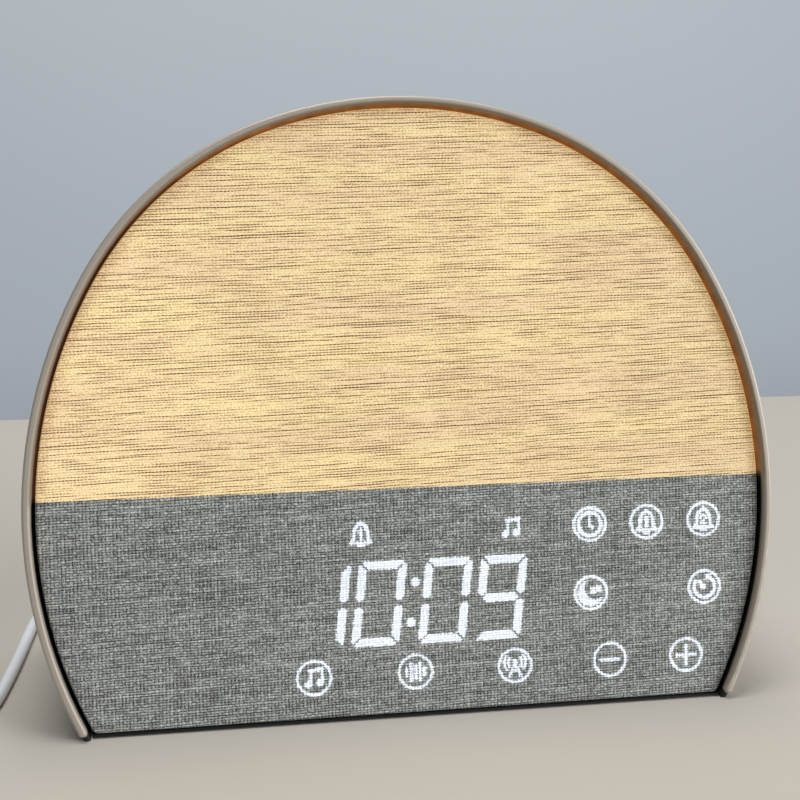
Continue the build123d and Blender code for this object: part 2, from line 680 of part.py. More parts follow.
# --- Loudspeaker ---------------------------------------------------------------------------
FLANGE_FRONT = COVER_IN - 1.9  # the flange's inner face; the gasket lies between it and the cover
BASKET_BACK = FLANGE_FRONT - 9.0


def turned(points):
    """Revolves an outline of (radius, y) points about the loudspeaker's axis."""
    outline = make_face(Polyline([(radius, y) for radius, y in points], close=True))
    return Pos(0, 0, SPEAKER_Z) * revolve(outline, Axis.Y)


def make_speaker_basket():
    back_y = BASKET_BACK
    outline = [
        (SPEAKER_R, FLANGE_FRONT),
        (SPEAKER_R, FLANGE_FRONT + 1.0),
        (SURROUND_R, FLANGE_FRONT + 1.0),
        (SURROUND_R, FLANGE_FRONT - 1.0),
        (MAGNET_R - 1, back_y + 1.0),
        (COIL_R + 2, back_y + 1.0),
        (COIL_R + 2, back_y),
        (MAGNET_R, back_y),
        (SURROUND_R + 1.2, FLANGE_FRONT - 1.6),
        (SURROUND_R + 1.2, FLANGE_FRONT),
    ]
    basket = turned(outline)
    for angle in range(0, 360, 60):
        slot = block(-3.2, 3.2, back_y + 1.5, FLANGE_FRONT - 2.2, MAGNET_R, SURROUND_R + 3)
        basket -= Pos(0, 0, SPEAKER_Z) * Rot(0, angle + 30, 0) * slot
    basket -= [rod(x, z, FLANGE_FRONT - 1, COVER_IN, 1.1) for x, z in speaker_screw_places()]
    return basket


def make_speaker_magnet():
    back_y = BASKET_BACK
    outline = [
        (0, back_y - MAGNET_H - 3.0),
        (MAGNET_R - 2, back_y - MAGNET_H - 3.0),
        (MAGNET_R, back_y - MAGNET_H - 1.0),
        (MAGNET_R, back_y - 0.05),
        (COIL_R + 1.2, back_y - 0.05),
        (COIL_R + 1.2, back_y - MAGNET_H),
        (COIL_R - 1.2, back_y - MAGNET_H),
        (COIL_R - 1.2, back_y + 0.4),
        (0, back_y + 0.4),
    ]
    return turned(outline)


def make_speaker_cone():
    """Cone, dust cap and voice-coil tube, which move together."""
    top = FLANGE_FRONT - 0.6
    foot = BASKET_BACK + 3.2
    outer, inner = COIL_R + 0.4, COIL_R - 0.4
    cone = turned([(CONE_R, top), (outer, foot), (inner, foot), (inner, foot + 0.8), (CONE_R - 0.8, top)])
    tube_low = BASKET_BACK - 4
    tube = turned([(outer, foot + 0.3), (outer, tube_low), (inner, tube_low), (inner, foot + 0.3)])
    cap_radius = COIL_R + 1.6
    dome = Sphere(9.0) - Sphere(8.4)
    cap = Pos(0, foot - 5.0, SPEAKER_Z) * dome
    cap &= rod(0, SPEAKER_Z, foot + 0.6, foot + 8, cap_radius - 1.0)
    return cone + tube + cap


def make_speaker_surround():
    """Half-roll of rubber between cone and basket, drawn as one closed ring."""
    y = FLANGE_FRONT - 0.55
    middle = (CONE_R + SURROUND_R) / 2
    half = (SURROUND_R - CONE_R) / 2 - 0.05
    ring = make_face([
        ThreePointArc((middle - half, y), (middle, y + 1.5), (middle + half, y)),
        Polyline(
            (middle + half, y), (middle + half, y - 0.45), (middle - half, y - 0.45), (middle - half, y)
        ),
    ])
    return Pos(0, 0, SPEAKER_Z) * revolve(ring, Axis.Y)


def make_speaker_gasket():
    gasket = pipe(0, SPEAKER_Z, FLANGE_FRONT + 1.05, COVER_IN - 0.05, SPEAKER_R, SURROUND_R - 0.5)
    return gasket - [rod(x, z, FLANGE_FRONT, COVER_IN, 1.1) for x, z in speaker_screw_places()]


def make_speaker_screws():
    seat = FLANGE_FRONT - 0.05
    return spread(
        screw(x, z, seat, 1.5, 1.1, 0.8, 3.4, forward=False) for x, z in speaker_screw_places()
    )


# --- Snooze key ----------------------------------------------------------------------------
def crown_shell(grow_low, grow_high, length, width, pull=0.0):
    """Slot-shaped piece that follows the curve of the crown between two outlines."""
    bent = back(arch_face(grow_high, pull=pull), 0, 60) - back(arch_face(grow_low), -1, 61)
    return key_slot(length, width, CREST_Z - 12, CREST_Z + 12) & bent


def make_snooze_button():
    length, width = KEY_LENGTH - 2 * KEY_PLAY, KEY_WIDTH - 2 * KEY_PLAY
    cap = crown_shell(GAP - 0.6, HOOP_OUT + KEY_RAISE, length, width, CROWN_PULL)
    rim = [edge for edge in cap.edges() if edge.center().Z > CREST_Z + 1.2 and edge.length > 8]
    cap = fillet(rim, 0.5)
    flange = crown_shell(GAP - KEY_FLANGE, GAP - 0.4, KEY_LENGTH + 3, KEY_WIDTH + 3)
    stem_low = KEY_BOARD_TOP + SWITCH_HEIGHT + 1.4
    stem = post(0, KEY_Y, stem_low, CREST_Z - 0.5, STEM_R)
    return FACE * (cap + flange + stem)


def make_switch_plunger():
    low = KEY_BOARD_TOP + SWITCH_HEIGHT - 1.4
    return FACE * post(0, KEY_Y, low, KEY_BOARD_TOP + SWITCH_HEIGHT + 1.4, PLUNGER_R)


def make_snooze_switch():
    body = block(-3, 3, KEY_Y - 3, KEY_Y + 3, KEY_BOARD_TOP, KEY_BOARD_TOP + SWITCH_HEIGHT)
    return FACE * (body - post(0, KEY_Y, KEY_BOARD_TOP + 0.8, KEY_BOARD_TOP + 9, PLUNGER_R + 0.1))


def make_snooze_board():
    board = block(-29, 29, KEY_Y - 5, KEY_Y + 5, KEY_BOARD_TOP - BOARD, KEY_BOARD_TOP)
    board -= [post(side * KEY_POST_X, KEY_Y, 90, 110, 1.0) for side in (-1, 1)]
    return FACE * board


# --- Supply socket and plug ----------------------------------------------------------------
WELL_FLOOR = COVER_OUT - JACK_WELL
PLUG_START = WELL_FLOOR + 2.6
PLUG_LENGTH, PLUG_R = 13.0, 4.9
RELIEF_LENGTH = 14.0
CORD_START = PLUG_START + PLUG_LENGTH + RELIEF_LENGTH


def make_dc_jack():
    body = rod(JACK_X, JACK_Z, WELL_FLOOR - 18, WELL_FLOOR - COVER - 0.05, 5.6)
    neck = rod(JACK_X, JACK_Z, WELL_FLOOR - COVER - 0.1, WELL_FLOOR + 2.2, 3.95)
    bore = rod(JACK_X, JACK_Z, WELL_FLOOR - 9, WELL_FLOOR + 3, BARREL_R + 0.07)
    pin = rod(JACK_X, JACK_Z, WELL_FLOOR - 9.5, WELL_FLOOR - 1, PIN_R)
    terminals = spread(
        block(JACK_X + x - 0.9, JACK_X + x + 0.9, WELL_FLOOR - 22, WELL_FLOOR - 17.5, JACK_Z - 0.3, JACK_Z + 0.3)
        for x in (-2.5, 2.5)
    )
    return body + neck - bore + pin + terminals


def make_jack_nut():
    nut = extrude(Plane.XZ * RegularPolygon(5.6, 6), amount=-2.0)
    nut = Pos(JACK_X, WELL_FLOOR + 0.05, JACK_Z) * nut
    return nut - rod(JACK_X, JACK_Z, WELL_FLOOR - 1, WELL_FLOOR + 5, 4.05)


def make_dc_plug_barrel():
    barrel = rod(JACK_X, JACK_Z, PLUG_START - 9.5, PLUG_START, BARREL_R)
    return barrel - rod(JACK_X, JACK_Z, PLUG_START - 10, PLUG_START - 1, PIN_R + 0.15)


def make_dc_plug_body():
    body = rod(JACK_X, JACK_Z, PLUG_START, PLUG_START + PLUG_LENGTH, PLUG_R)
    body = fillet(body.edges(), 0.7)
    for i in range(3):
        y = PLUG_START + 4 + i * 2.2
        body -= pipe(JACK_X, JACK_Z, y, y + 0.9, PLUG_R + 1, PLUG_R - 0.4)
    return body


def make_cord_relief():
    """Ribbed, tapered sleeve where the lead leaves its plug."""
    start = PLUG_START + PLUG_LENGTH
    sleeve = taper(JACK_X, JACK_Z, start, start + RELIEF_LENGTH, 3.6, 2.3)
    for i in range(4):
        y = start + 2.4 + i * 2.8
        sleeve -= pipe(JACK_X, JACK_Z, y, y + 0.9, 5, 2.4 - 0.05 * i)
    return sleeve


# --- Lead ----------------------------------------------------------------------------------
# Every point of the lead's middle line that isn't coiled, from the plug to the coil.
CORD_ROUTE = [
    (JACK_X, CORD_START, JACK_Z),
    (JACK_X, 69.5, JACK_Z),
    (-49.8, 79.0, 11.4),
    (-56.5, 87.5, 7.0),
    (-67.5, 93.0, 3.2),
    (-80.5, 94.0, CORD_FLOOR),
    (-90.5, 92.0, CORD_FLOOR),
    (-98.0, 88.0, CORD_FLOOR),
    (-108.0, 78.5, CORD_FLOOR),
    (-113.8, 65.0, CORD_FLOOR),
    (-115.7, 47.0, CORD_FLOOR),
    (-116.0, 26.0, CORD_FLOOR),
    (-116.9, 4.0, CORD_FLOOR),
    (-118.2, -13.0, CORD_FLOOR),
    (-124.2, -26.5, CORD_FLOOR),
    (-136.5, -34.8, CORD_FLOOR),
    (COIL_X, COIL_Y - COIL_MID_R - 3.5, CORD_FLOOR),
]
TAIL_HEIGHT = 3.8
TAIL_ROUTE = [
    (COIL_X - COIL_MID_R - 1.8, COIL_Y, TAIL_HEIGHT),
    (COIL_X - COIL_MID_R - 2.2, COIL_Y + 12, TAIL_HEIGHT),
    (COIL_X - COIL_MID_R + 0.4, COIL_Y + 24, TAIL_HEIGHT),
    (COIL_X - COIL_MID_R + 4.8, COIL_Y + 35, TAIL_HEIGHT),
]


def bend_radii(route):
    """Largest arc for each corner: 0.45 of the shorter run over the tangent of half the turn."""
    points = [Vector(*p) for p in route]
    radii = []
    for before, here, after in zip(points, points[1:], points[2:]):
        one, two = here - before, after - here
        half_turn = radians(one.get_angle(two)) / 2
        radii.append(0.45 * min(one.length, two.length) / tan(half_turn))
    return radii


def make_tube(route, radius, name):
    """Round tube on straight runs joined by tangent arcs; prints its bends and its volume."""
    radii = bend_radii(route)
    path = FilletPolyline(*route, radius=radii)
    section = Plane(path @ 0, z_dir=path % 0) * Circle(radius)
    tube = sweep(section, path)
    ideal = pi * radius**2 * path.length
    print(name, "radii", [round(r, 1) for r in radii], "length", round(path.length, 1))
    print(name, "volume over section times length", round(tube.volume / ideal, 4))
    return tube


def make_power_cord():
    return make_tube(CORD_ROUTE, CORD_R, "power_cord")


def make_cord_coil():
    """Outer shape of the neat round coil that holds the rest of the lead."""
    ring = post(COIL_X, COIL_Y, 0, COIL_HEIGHT, COIL_MID_R + COIL_HALF)
    ring -= post(COIL_X, COIL_Y, -1, COIL_HEIGHT + 1, COIL_MID_R - COIL_HALF)
    return fillet(ring.edges(), 1.5)


def make_cord_tail():
    return make_tube(TAIL_ROUTE, CORD_R, "cord_tail")


# --- Plug at the far end -------------------------------------------------------------------
USB_W, USB_H, USB_BODY, USB_SHELL, USB_NECK = 15.0, 7.4, 24.0, 12.0, 6.0
SHELL_START = USB_NECK + USB_BODY


def far_end():
    """Where the lead ends, facing along its last run."""
    end, before = Vector(*TAIL_ROUTE[-1]), Vector(*TAIL_ROUTE[-2])
    heading = degrees(atan2(before.X - end.X, end.Y - before.Y))
    return Location((end.X, end.Y, end.Z), (0, 0, heading))


def make_usb_plug_body():
    """Moulded grip, with its tapered neck round the lead."""
    body = block(-USB_W / 2, USB_W / 2, USB_NECK, SHELL_START, -USB_H / 2, USB_H / 2)
    body = fillet(body.edges().filter_by(Axis.Y), 2.4)
    body = fillet(body.faces().sort_by(Axis.Y)[0].edges(), 1.2)
    return far_end() * (body + taper(0, 0, 0, USB_NECK + 0.5, 2.3, 3.2))


def make_usb_plug_shell():
    start, end = SHELL_START, SHELL_START + USB_SHELL
    shell = block(-6.0, 6.0, start, end, -2.25, 2.25)
    shell -= block(-5.65, 5.65, start + 1, end + 1, -1.9, 1.9)
    for x in (-2.6, 2.6):
        shell -= block(x - 1.1, x + 1.1, start + 5.5, start + 7.8, -3, 3)
    return far_end() * shell


def make_usb_plug_tongue():
    start = SHELL_START + 1.05
    return far_end() * block(-5.55, 5.55, start, SHELL_START + USB_SHELL - 0.6, 0.05, 1.8)


# --- Wires inside the case -----------------------------------------------------------------
WIRE_R = 0.8
PLUG_TOP = MAIN_BOARD_Y + BOARD + 5.05  # rear end of a connector on the main board


def make_harness(name, route):
    """Sleeved wires that come down to their connector in a wide bend and go straight in."""
    x, z = CONNECTORS[name]
    ends = [(x, PLUG_TOP + 11, z + 5.5), (x, PLUG_TOP + 5.5, z), (x, PLUG_TOP, z)]
    return FACE * make_tube(route + ends, WIRE_R, name + "_harness")


def make_lamp_harness():
    start = LAMP_BOARD_Y + BOARD + 0.05
    return make_harness("lamp", [(-46, start, 22), (-46, 23, 22), (-47, 31.5, 19), (-50, 37.5, 11.5)])


def make_speaker_harness():
    """Starts on a solid rib of the loudspeaker's basket."""
    route = [(4, 44.1, 23.6), (5.5, 41.6, 17), (11.5, 39.6, 12.5), (20, 38.6, 9.8), (29, 38.3, 7.5)]
    return make_harness("speaker", route)


def make_jack_harness():
    """Short wires from one terminal of the socket."""
    x, z = CONNECTORS["jack"]
    start = (JACK_X - 2.5, 37.6, -32.5)
    route = [start, (x + 0.8, PLUG_TOP + 6.5, z + 1.7), (x, PLUG_TOP + 3.5, z), (x, PLUG_TOP, z)]
    return FACE * make_tube(route, WIRE_R, "jack_harness")


def make_key_harness():
    start = (19, 22, KEY_BOARD_TOP - BOARD - 0.05)
    route = [start, (19, 22, 90), (30, 22, 66), (46, 22.6, 42), (50, 26, 22), (49.5, 34, 13)]
    return make_harness("key", route + [(45.5, 37.8, 9)])


PARTS = {
    "outer_shell": make_outer_shell,
    "front_fabric": make_front_fabric,
    "front_frame": make_front_frame,
    "light_diffuser": make_light_diffuser,
    "display_mask": make_display_mask,
    "display_housing": make_display_housing,
    "digit_guides": make_digit_guides,
    "icon_guides": make_icon_guides,
    "display_leds": make_display_leds,
    "touch_board": make_touch_board,
    "display_ribbon": make_display_ribbon,
    "light_tray": make_light_tray,
    "lamp_board": make_lamp_board,
    "warm_leds": make_warm_leds,
    "main_board": make_main_board,
    "board_chips": make_board_chips,
    "radio_module": make_radio_module,
    "board_capacitors": make_board_capacitors,
    "board_connectors": make_board_connectors,
    "rear_cover": make_rear_cover,
    "base_plate": make_base_plate,
    "edge_pads": make_edge_pads,
    "rubber_feet": make_rubber_feet,
    "battery_door": make_battery_door,
    "coin_cell": make_coin_cell,
    "battery_contacts": make_battery_contacts,
    "speaker_basket": make_speaker_basket,
    "speaker_magnet": make_speaker_magnet,
    "speaker_cone": make_speaker_cone,
    "speaker_surround": make_speaker_surround,
    "speaker_gasket": make_speaker_gasket,
    "snooze_button": make_snooze_button,
    "switch_plunger": make_switch_plunger,
    "snooze_switch": make_snooze_switch,
    "snooze_board": make_snooze_board,
    "dc_jack": make_dc_jack,
    "jack_nut": make_jack_nut,
    "case_screws": make_case_screws,
    "frame_screws": make_frame_screws,
    "board_screws": make_board_screws,
    "base_screws": make_base_screws,
    "speaker_screws": make_speaker_screws,
    "snooze_board_screws": make_snooze_board_screws,
    "battery_door_screw": make_battery_door_screw,
    "lamp_harness": make_lamp_harness,
    "speaker_harness": make_speaker_harness,
    "jack_harness": make_jack_harness,
    "key_harness": make_key_harness,
    "dc_plug_barrel": make_dc_plug_barrel,
    "dc_plug_body": make_dc_plug_body,
    "cord_relief": make_cord_relief,
    "power_cord": make_power_cord,
    "cord_coil": make_cord_coil,
    "cord_tail": make_cord_tail,
    "usb_plug_body": make_usb_plug_body,
    "usb_plug_shell": make_usb_plug_shell,
    "usb_plug_tongue": make_usb_plug_tongue,
}

os.makedirs("parts", exist_ok=True)
for node, make in PARTS.items():
    shape = make()
    export_step(shape, f"parts/{node}.step")
    box = shape.bounding_box()
    print(node, len(shape.solids()), "solids", box.min, box.max)
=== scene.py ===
# %% [markdown]
# A sunrise alarm clock, dressed on its engineering frame.
# The clock is a half-moon of cloth that leans back in an arched plastic hoop. Its upper part
# glows, and clock digits and ringed touch symbols shine through the dark part of the cloth.
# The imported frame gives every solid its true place. This script adds the woven face, the lead,
# the fasteners' fine shapes and the finishes, all in metres and in the frame's own axes.

# %% Load the frame
import bpy
import json
import math
import numpy as np
from mathutils import Matrix, Vector
from mathutils.geometry import delaunay_2d_cdt


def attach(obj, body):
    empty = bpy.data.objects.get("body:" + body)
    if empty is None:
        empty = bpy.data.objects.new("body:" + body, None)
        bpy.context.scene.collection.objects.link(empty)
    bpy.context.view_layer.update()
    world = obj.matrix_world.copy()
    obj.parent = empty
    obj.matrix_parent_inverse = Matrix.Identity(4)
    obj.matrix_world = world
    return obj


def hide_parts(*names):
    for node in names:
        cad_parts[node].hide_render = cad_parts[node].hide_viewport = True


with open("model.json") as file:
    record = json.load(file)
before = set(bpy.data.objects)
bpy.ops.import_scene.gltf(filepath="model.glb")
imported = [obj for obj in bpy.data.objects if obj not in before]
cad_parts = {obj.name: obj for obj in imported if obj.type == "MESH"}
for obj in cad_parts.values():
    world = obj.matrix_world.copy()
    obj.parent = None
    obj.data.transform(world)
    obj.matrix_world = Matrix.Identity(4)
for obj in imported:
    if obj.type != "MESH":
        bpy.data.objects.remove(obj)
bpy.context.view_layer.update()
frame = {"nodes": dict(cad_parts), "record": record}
MM = 0.001
print("frame nodes:", len(frame["nodes"]))


def new_object(name, data):
    """Puts data into the scene as an object."""
    thing = bpy.data.objects.new(name, data)
    bpy.context.scene.collection.objects.link(thing)
    return thing


# %% [markdown]
# The face's own frame. The whole front is drawn flat: x across, y straight back from the cloth
# and z up the face, in millimetres. One matrix leans it back by ten degrees, so nothing else
# has to know about the lean.

# %% The leaning face
LEAN = math.radians(10.0)
FACE_Y, FACE_HEIGHT = -21.9, 52.85
FACE = Matrix.Translation((0, FACE_Y * MM, FACE_HEIGHT * MM)) @ Matrix.Rotation(-LEAN, 4, "X")


def on_face(x, y, z):
    """A point of the face, from millimetres to a place in the scene."""
    return FACE @ Vector((x * MM, y * MM, z * MM))


# %% [markdown]
# The camera stands a little to the left of the clock, nearly as high as its crest and about a
# third of a metre away, and looks slightly down. It is made first, because the room that a
# lead may take depends on what the camera sees.

# %% Camera
camera = new_object("camera", bpy.data.cameras.new("camera"))
camera.data.lens, camera.data.sensor_width = 54, 36  # millimetres
camera.data.clip_start = 0.01
camera.location = (-0.0518, -0.3383, 0.15696)
camera.rotation_euler = [math.radians(angle) for angle in (78.03, -0.1, -8.62)]
bpy.context.scene.camera = camera
print("camera at", [round(value, 3) for value in camera.location])


# %% [markdown]
# The power lead. A real lead is a round bundle of wires in soft white plastic. It comes
# straight out of the strain relief, sinks to the table and runs round the clock's left side.
# The spare length is wound into a neat coil. One NURBS spline follows the same points as the
# frame's tube; its coil is just more points of the same spline, made by a loop.

# %% Route of the lead
CORD_R = 1.75
JACK_X, JACK_Z, CORD_START = -48.0, 14.35, 61.0
CORD_FLOOR = 1.8
COIL_X, COIL_Y = -151.0, -12.0
CORD_ROUTE = [
    (JACK_X, CORD_START, JACK_Z), (JACK_X, 69.5, JACK_Z), (-49.8, 79.0, 11.4), (-56.5, 87.5, 7.0),
    (-67.5, 93.0, 3.2),
]
CORD_ROUTE += [(x, y, CORD_FLOOR) for x, y in (
    (-80.5, 93.7), (-90.5, 92.0), (-98.0, 88.0), (-108.0, 78.5), (-113.8, 65.0), (-115.7, 47.0),
    (-116.0, 26.0), (-116.9, 4.0), (-118.2, -13.0), (-124.2, -26.5), (-136.5, -34.8),
)]
CORD_END = [(COIL_X - x, COIL_Y + y, z) for x, y, z in (
    (24.6, 8, 5.0), (23.6, 17, 4.3), (20.6, 25, 3.8), (16.2, 35, 3.8))]

# radius and height of each turn of the coil, in the order in which it is wound
COIL_SLOTS = [
    (24.6, 1.8), (21.0, 1.8), (17.4, 1.8), (17.4, 5.3), (17.4, 8.8),
    (21.0, 8.8), (21.0, 5.3), (24.6, 8.8), (24.6, 5.3),
]
COIL_TURNS, POINTS_PER_TURN = 8.25, 16
CROSSING = 0.12  # share of a turn in which the lead steps over to its next place
FIRST_CROSSING, CROSSING_SHIFT = 0.9, 0.08  # where it does so first, and how it moves each turn


def coil_points():
    """Points of the coil, wound clockwise seen from above, from its front."""
    points = []
    for step in range(int(COIL_TURNS * POINTS_PER_TURN) + 1):
        turn = step / POINTS_PER_TURN
        place = 0.0
        for k in range(len(COIL_SLOTS) - 1):
            share = (turn - k - FIRST_CROSSING + CROSSING_SHIFT * k) / CROSSING
            share = min(1.0, max(0.0, share))
            place += share * share * (3 - 2 * share)
        low = min(int(place), len(COIL_SLOTS) - 2)
        (r0, z0), (r1, z1) = COIL_SLOTS[low], COIL_SLOTS[low + 1]
        blend = place - low
        radius, height = r0 + (r1 - r0) * blend, z0 + (z1 - z0) * blend
        angle = math.radians(-90 - 360 * turn)
        x, y = COIL_X + radius * math.cos(angle), COIL_Y + radius * math.sin(angle)
        points.append((x, y, height))
    return points


curve = bpy.data.curves.new("lead", "CURVE")
curve.dimensions = "3D"
spline = curve.splines.new("NURBS")
places = CORD_ROUTE + coil_points() + CORD_END
spline.points.add(len(places) - 1)
for point, place in zip(spline.points, places):
    point.co = (*[value * MM for value in place], 1)
    point.radius = CORD_R * MM  # with a bevel of one, so the curve's own bounds stay tight
spline.order_u, spline.use_endpoint_u = 3, True
curve.resolution_u, curve.bevel_resolution = 6, 5
curve.bevel_depth, curve.use_fill_caps = 1.0, True
lead = new_object("lead", curve)
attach(lead, "case")
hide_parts("power_cord", "cord_coil", "cord_tail")
print("points of the lead:", len(places))


# %% [markdown]
# The outline of the half-moon. It is three arcs that meet tangentially on each side: a wide one
# over the crest, a tighter shoulder and a wide flank. Any point of it, grown outwards or shrunk
# inwards by some millimetres, comes from the angle that the outline has turned through.

# %% Outline of the face
CREST_Z, CREST_R, SHOULDER_R, SIDE_R = 116.25, 110.4, 90.4, 129.7
CREST_TURN, SHOULDER_TURN = 18.5, 60.0
CLOTH_LOW, CORNER_R = -52.45, 1.9


def arc_of(turn):
    """Centre and radius of the arc at a turn from the crest, on the right side."""
    x, z = 0.0, CREST_Z - CREST_R
    if turn <= CREST_TURN:
        return x, z, CREST_R
    a, step = math.radians(CREST_TURN), CREST_R - SHOULDER_R
    x, z = x + step * math.sin(a), z + step * math.cos(a)
    if turn <= SHOULDER_TURN:
        return x, z, SHOULDER_R
    a, step = math.radians(SHOULDER_TURN), SHOULDER_R - SIDE_R
    return x + step * math.sin(a), z + step * math.cos(a), SIDE_R


def arch_point(turn, grow):
    """Point of the outline at a turn from the crest, grown outwards; the left has turns below 0."""
    x, z, radius = arc_of(abs(turn))
    a = math.radians(abs(turn))
    side = 1 if turn >= 0 else -1
    return side * (x + (radius + grow) * math.sin(a)), z + (radius + grow) * math.cos(a)


ARCH_STEPS, FOOT_STEPS, CORNER_STEPS = 400, 150, 6


def outline(grow):
    """Closed loop: the arch, a rounded corner, back along the foot and the other corner."""
    cx, cz, radius = arc_of(90)
    reach, drop = radius - CORNER_R, CLOTH_LOW + CORNER_R - cz
    corner_x, corner_z = cx + math.sqrt(reach**2 - drop**2), CLOTH_LOW + CORNER_R
    last = math.degrees(math.acos(drop / reach))
    arch = [arch_point(last * (2 * i / ARCH_STEPS - 1), grow) for i in range(ARCH_STEPS + 1)]
    r, shares = CORNER_R + grow, [i / CORNER_STEPS for i in range(1, CORNER_STEPS + 1)]
    turns = [math.radians(last + (180 - last) * share) for share in shares]
    corner = [(corner_x + r * math.sin(a), corner_z + r * math.cos(a)) for a in turns]
    foot = [(corner_x * (1 - 2 * i / FOOT_STEPS), CLOTH_LOW - grow) for i in range(1, FOOT_STEPS)]
    return arch + corner + foot + [(-x, z) for x, z in reversed(corner)]


print("points of the outline:", len(outline(0.0)))


# %% [markdown]
# Digits and symbols. On the real clock, lamps behind the cloth shine up through light guides,
# and the cloth's threads fray the edge of every figure. Each figure is described here by its
# signed distance: how many millimetres a point lies inside it (above zero) or outside (below).
# A distance can be blended with the weave later on, which a hard-edged mesh can't.

# %% Signed distances of simple shapes
TINY, FAR = 1e-9, 1e9


def line_distance(p, a, b):
    """How far each point is from the straight line between two ends, without a sign."""
    along = b - a
    t = np.clip(((p - a) @ along) / max(along @ along, TINY), 0, 1)
    return np.linalg.norm(p - (a + t[:, None] * along), axis=1)


def bar_distance(p, a, b, half):
    """Round-ended bar between two points."""
    return half - line_distance(p, np.array(a, float), np.array(b, float))


def disc_distance(p, centre, radius):
    return radius - np.linalg.norm(p - centre, axis=1)


def ring_distance(p, centre, radius, half):
    return half - np.abs(np.linalg.norm(p - centre, axis=1) - radius)


def arc_distance(p, centre, radius, half, start, end):
    """Part of a ring, between two angles in degrees."""
    q = p - centre
    middle, reach = math.radians((start + end) / 2), math.radians((end - start) / 2)
    angle = np.abs((np.arctan2(q[:, 1], q[:, 0]) - middle + math.pi) % (2 * math.pi) - math.pi)
    ends = [
        np.linalg.norm(q - radius * np.array((math.cos(a), math.sin(a))), axis=1)
        for a in (middle - reach, middle + reach)
    ]
    ring = np.abs(np.linalg.norm(q, axis=1) - radius)
    return half - np.where(angle <= reach, ring, np.minimum(*ends))


def polygon_distance(p, corners):
    corners = np.array(corners, float)
    nearest = np.full(len(p), FAR)
    inside = np.zeros(len(p), bool)
    for a, b in zip(corners, np.roll(corners, -1, axis=0)):
        nearest = np.minimum(nearest, line_distance(p, a, b))
        crosses = (a[1] > p[:, 1]) != (b[1] > p[:, 1])
        rise = b[1] - a[1] if b[1] != a[1] else TINY
        x = a[0] + (p[:, 1] - a[1]) / rise * (b - a)[0]
        inside ^= crosses & (p[:, 0] < x)
    return np.where(inside, nearest, -nearest)


def union(*parts):
    return np.maximum.reduce(parts)


def bars(p, *strokes):
    """Several bars, each with its two ends and its half width."""
    return union(*[bar_distance(p, *stroke) for stroke in strokes])


# %% [markdown]
# Seven-segment digits. The bars' ends are mitred where they meet at the digit's corners and
# pointed at its waist, and the whole digit slants a little to the right.

# %% Digits
DIGIT_MID, DIGIT_HEIGHT, DIGIT_WIDTH, DIGIT_SLANT = -21.1, 23.8, 13.45, 7.0
SEGMENT, SEGMENT_GAP, CHAMFER = 2.3, 0.42, 0.55
DIGIT_X = (-25.7, -10.0, 8.8, 24.7)
SHOWN = ("bc", "abcdef", "abcdef", "abcdfg")
COLON = ((0.34, -15.57), (-1.15, -26.9))


def segment_corners(letter):
    """Corners of one bar in the upright digit, whose middle is the origin."""
    w, h, s, g, c = DIGIT_WIDTH / 2, DIGIT_HEIGHT / 2, SEGMENT, SEGMENT_GAP, CHAMFER
    if letter in "ad":
        flip = 1 if letter == "a" else -1
        half = [(w - g - c, h), (w - g - c, h - c), (w - s - g, h - s)]
        shape = half + [(-x, z) for x, z in reversed(half)]
        return [(x, z * flip) for x, z in shape]
    if letter == "g":
        half = s / 2
        shape = [(-w + half + g, 0), (-w + s + g, half), (w - s - g, half), (w - half - g, 0)]
        return shape + [(x, -z) for x, z in shape[-2:0:-1]]
    waist, point = s / 2 + g, 0.75 * g + c
    shape = [(w - c, h - g - c), (w, h - g - 1.6 * c), (w, waist)]
    shape += [(w - s / 3, point), (w - 2 * s / 3, point), (w - s, waist), (w - s, h - s - g)]
    across = -1 if letter in "ef" else 1
    up = -1 if letter in "ce" else 1
    return [(x * across, z * up) for x, z in shape]


def digit_distance(p, centre_x, letters):
    lean = math.tan(math.radians(DIGIT_SLANT))
    shapes = [
        [(centre_x + x + z * lean, DIGIT_MID + z) for x, z in segment_corners(letter)]
        for letter in letters
    ]
    return union(*[polygon_distance(p, shape) for shape in shapes])


# %% [markdown]
# Ringed touch symbols: a clock face, two bells with plain numbers, a moon, a countdown dial,
# a pair of notes, sound bars, a radio mast, minus and plus. They are drawn from bars, arcs and
# discs, each round its own middle.

# %% Symbols
RING_R, RING_HALF = 4.68, 0.36
BELL_HALF = 0.48


def figure_one(p):
    return bars(p, ((0.05, -1.3), (0.05, 1.3), 0.5), ((-0.55, 0.75), (0.05, 1.3), 0.34))


def figure_two(p):
    strokes = bars(p, ((0.6, 0.1), (-0.7, -1.25), 0.34), ((-0.7, -1.25), (0.8, -1.25), 0.34))
    return union(arc_distance(p, (0, 0.55), 0.72, 0.34, -40, 190), strokes)


def bell(p, figure):
    """Outlined bell with a flared rim, a clapper below and a plain number inside."""
    path = [(2.75, -2.35), (2.0, -1.3), (1.85, 0.9), (1.3, 2.2), (0, 2.95)]
    strokes = [((-2.6, -2.4), (2.6, -2.4), 0.44), ((-0.7, -3.15), (0.7, -3.15), 0.42)]
    for flip in (-1, 1):
        side = [(flip * x, z) for x, z in path]
        strokes += [(a, b, BELL_HALF) for a, b in zip(side, side[1:])]
    return union(bars(p, *strokes), disc_distance(p, (0, 3.3), 0.45), figure(p))


def clock_symbol(p):
    hands = bars(p, ((0, -0.1), (0, 2.5), 0.36), ((0, -0.3), (0.85, -1.0), 0.46))
    return union(ring_distance(p, (0, 0), 3.28, 0.52), hands)


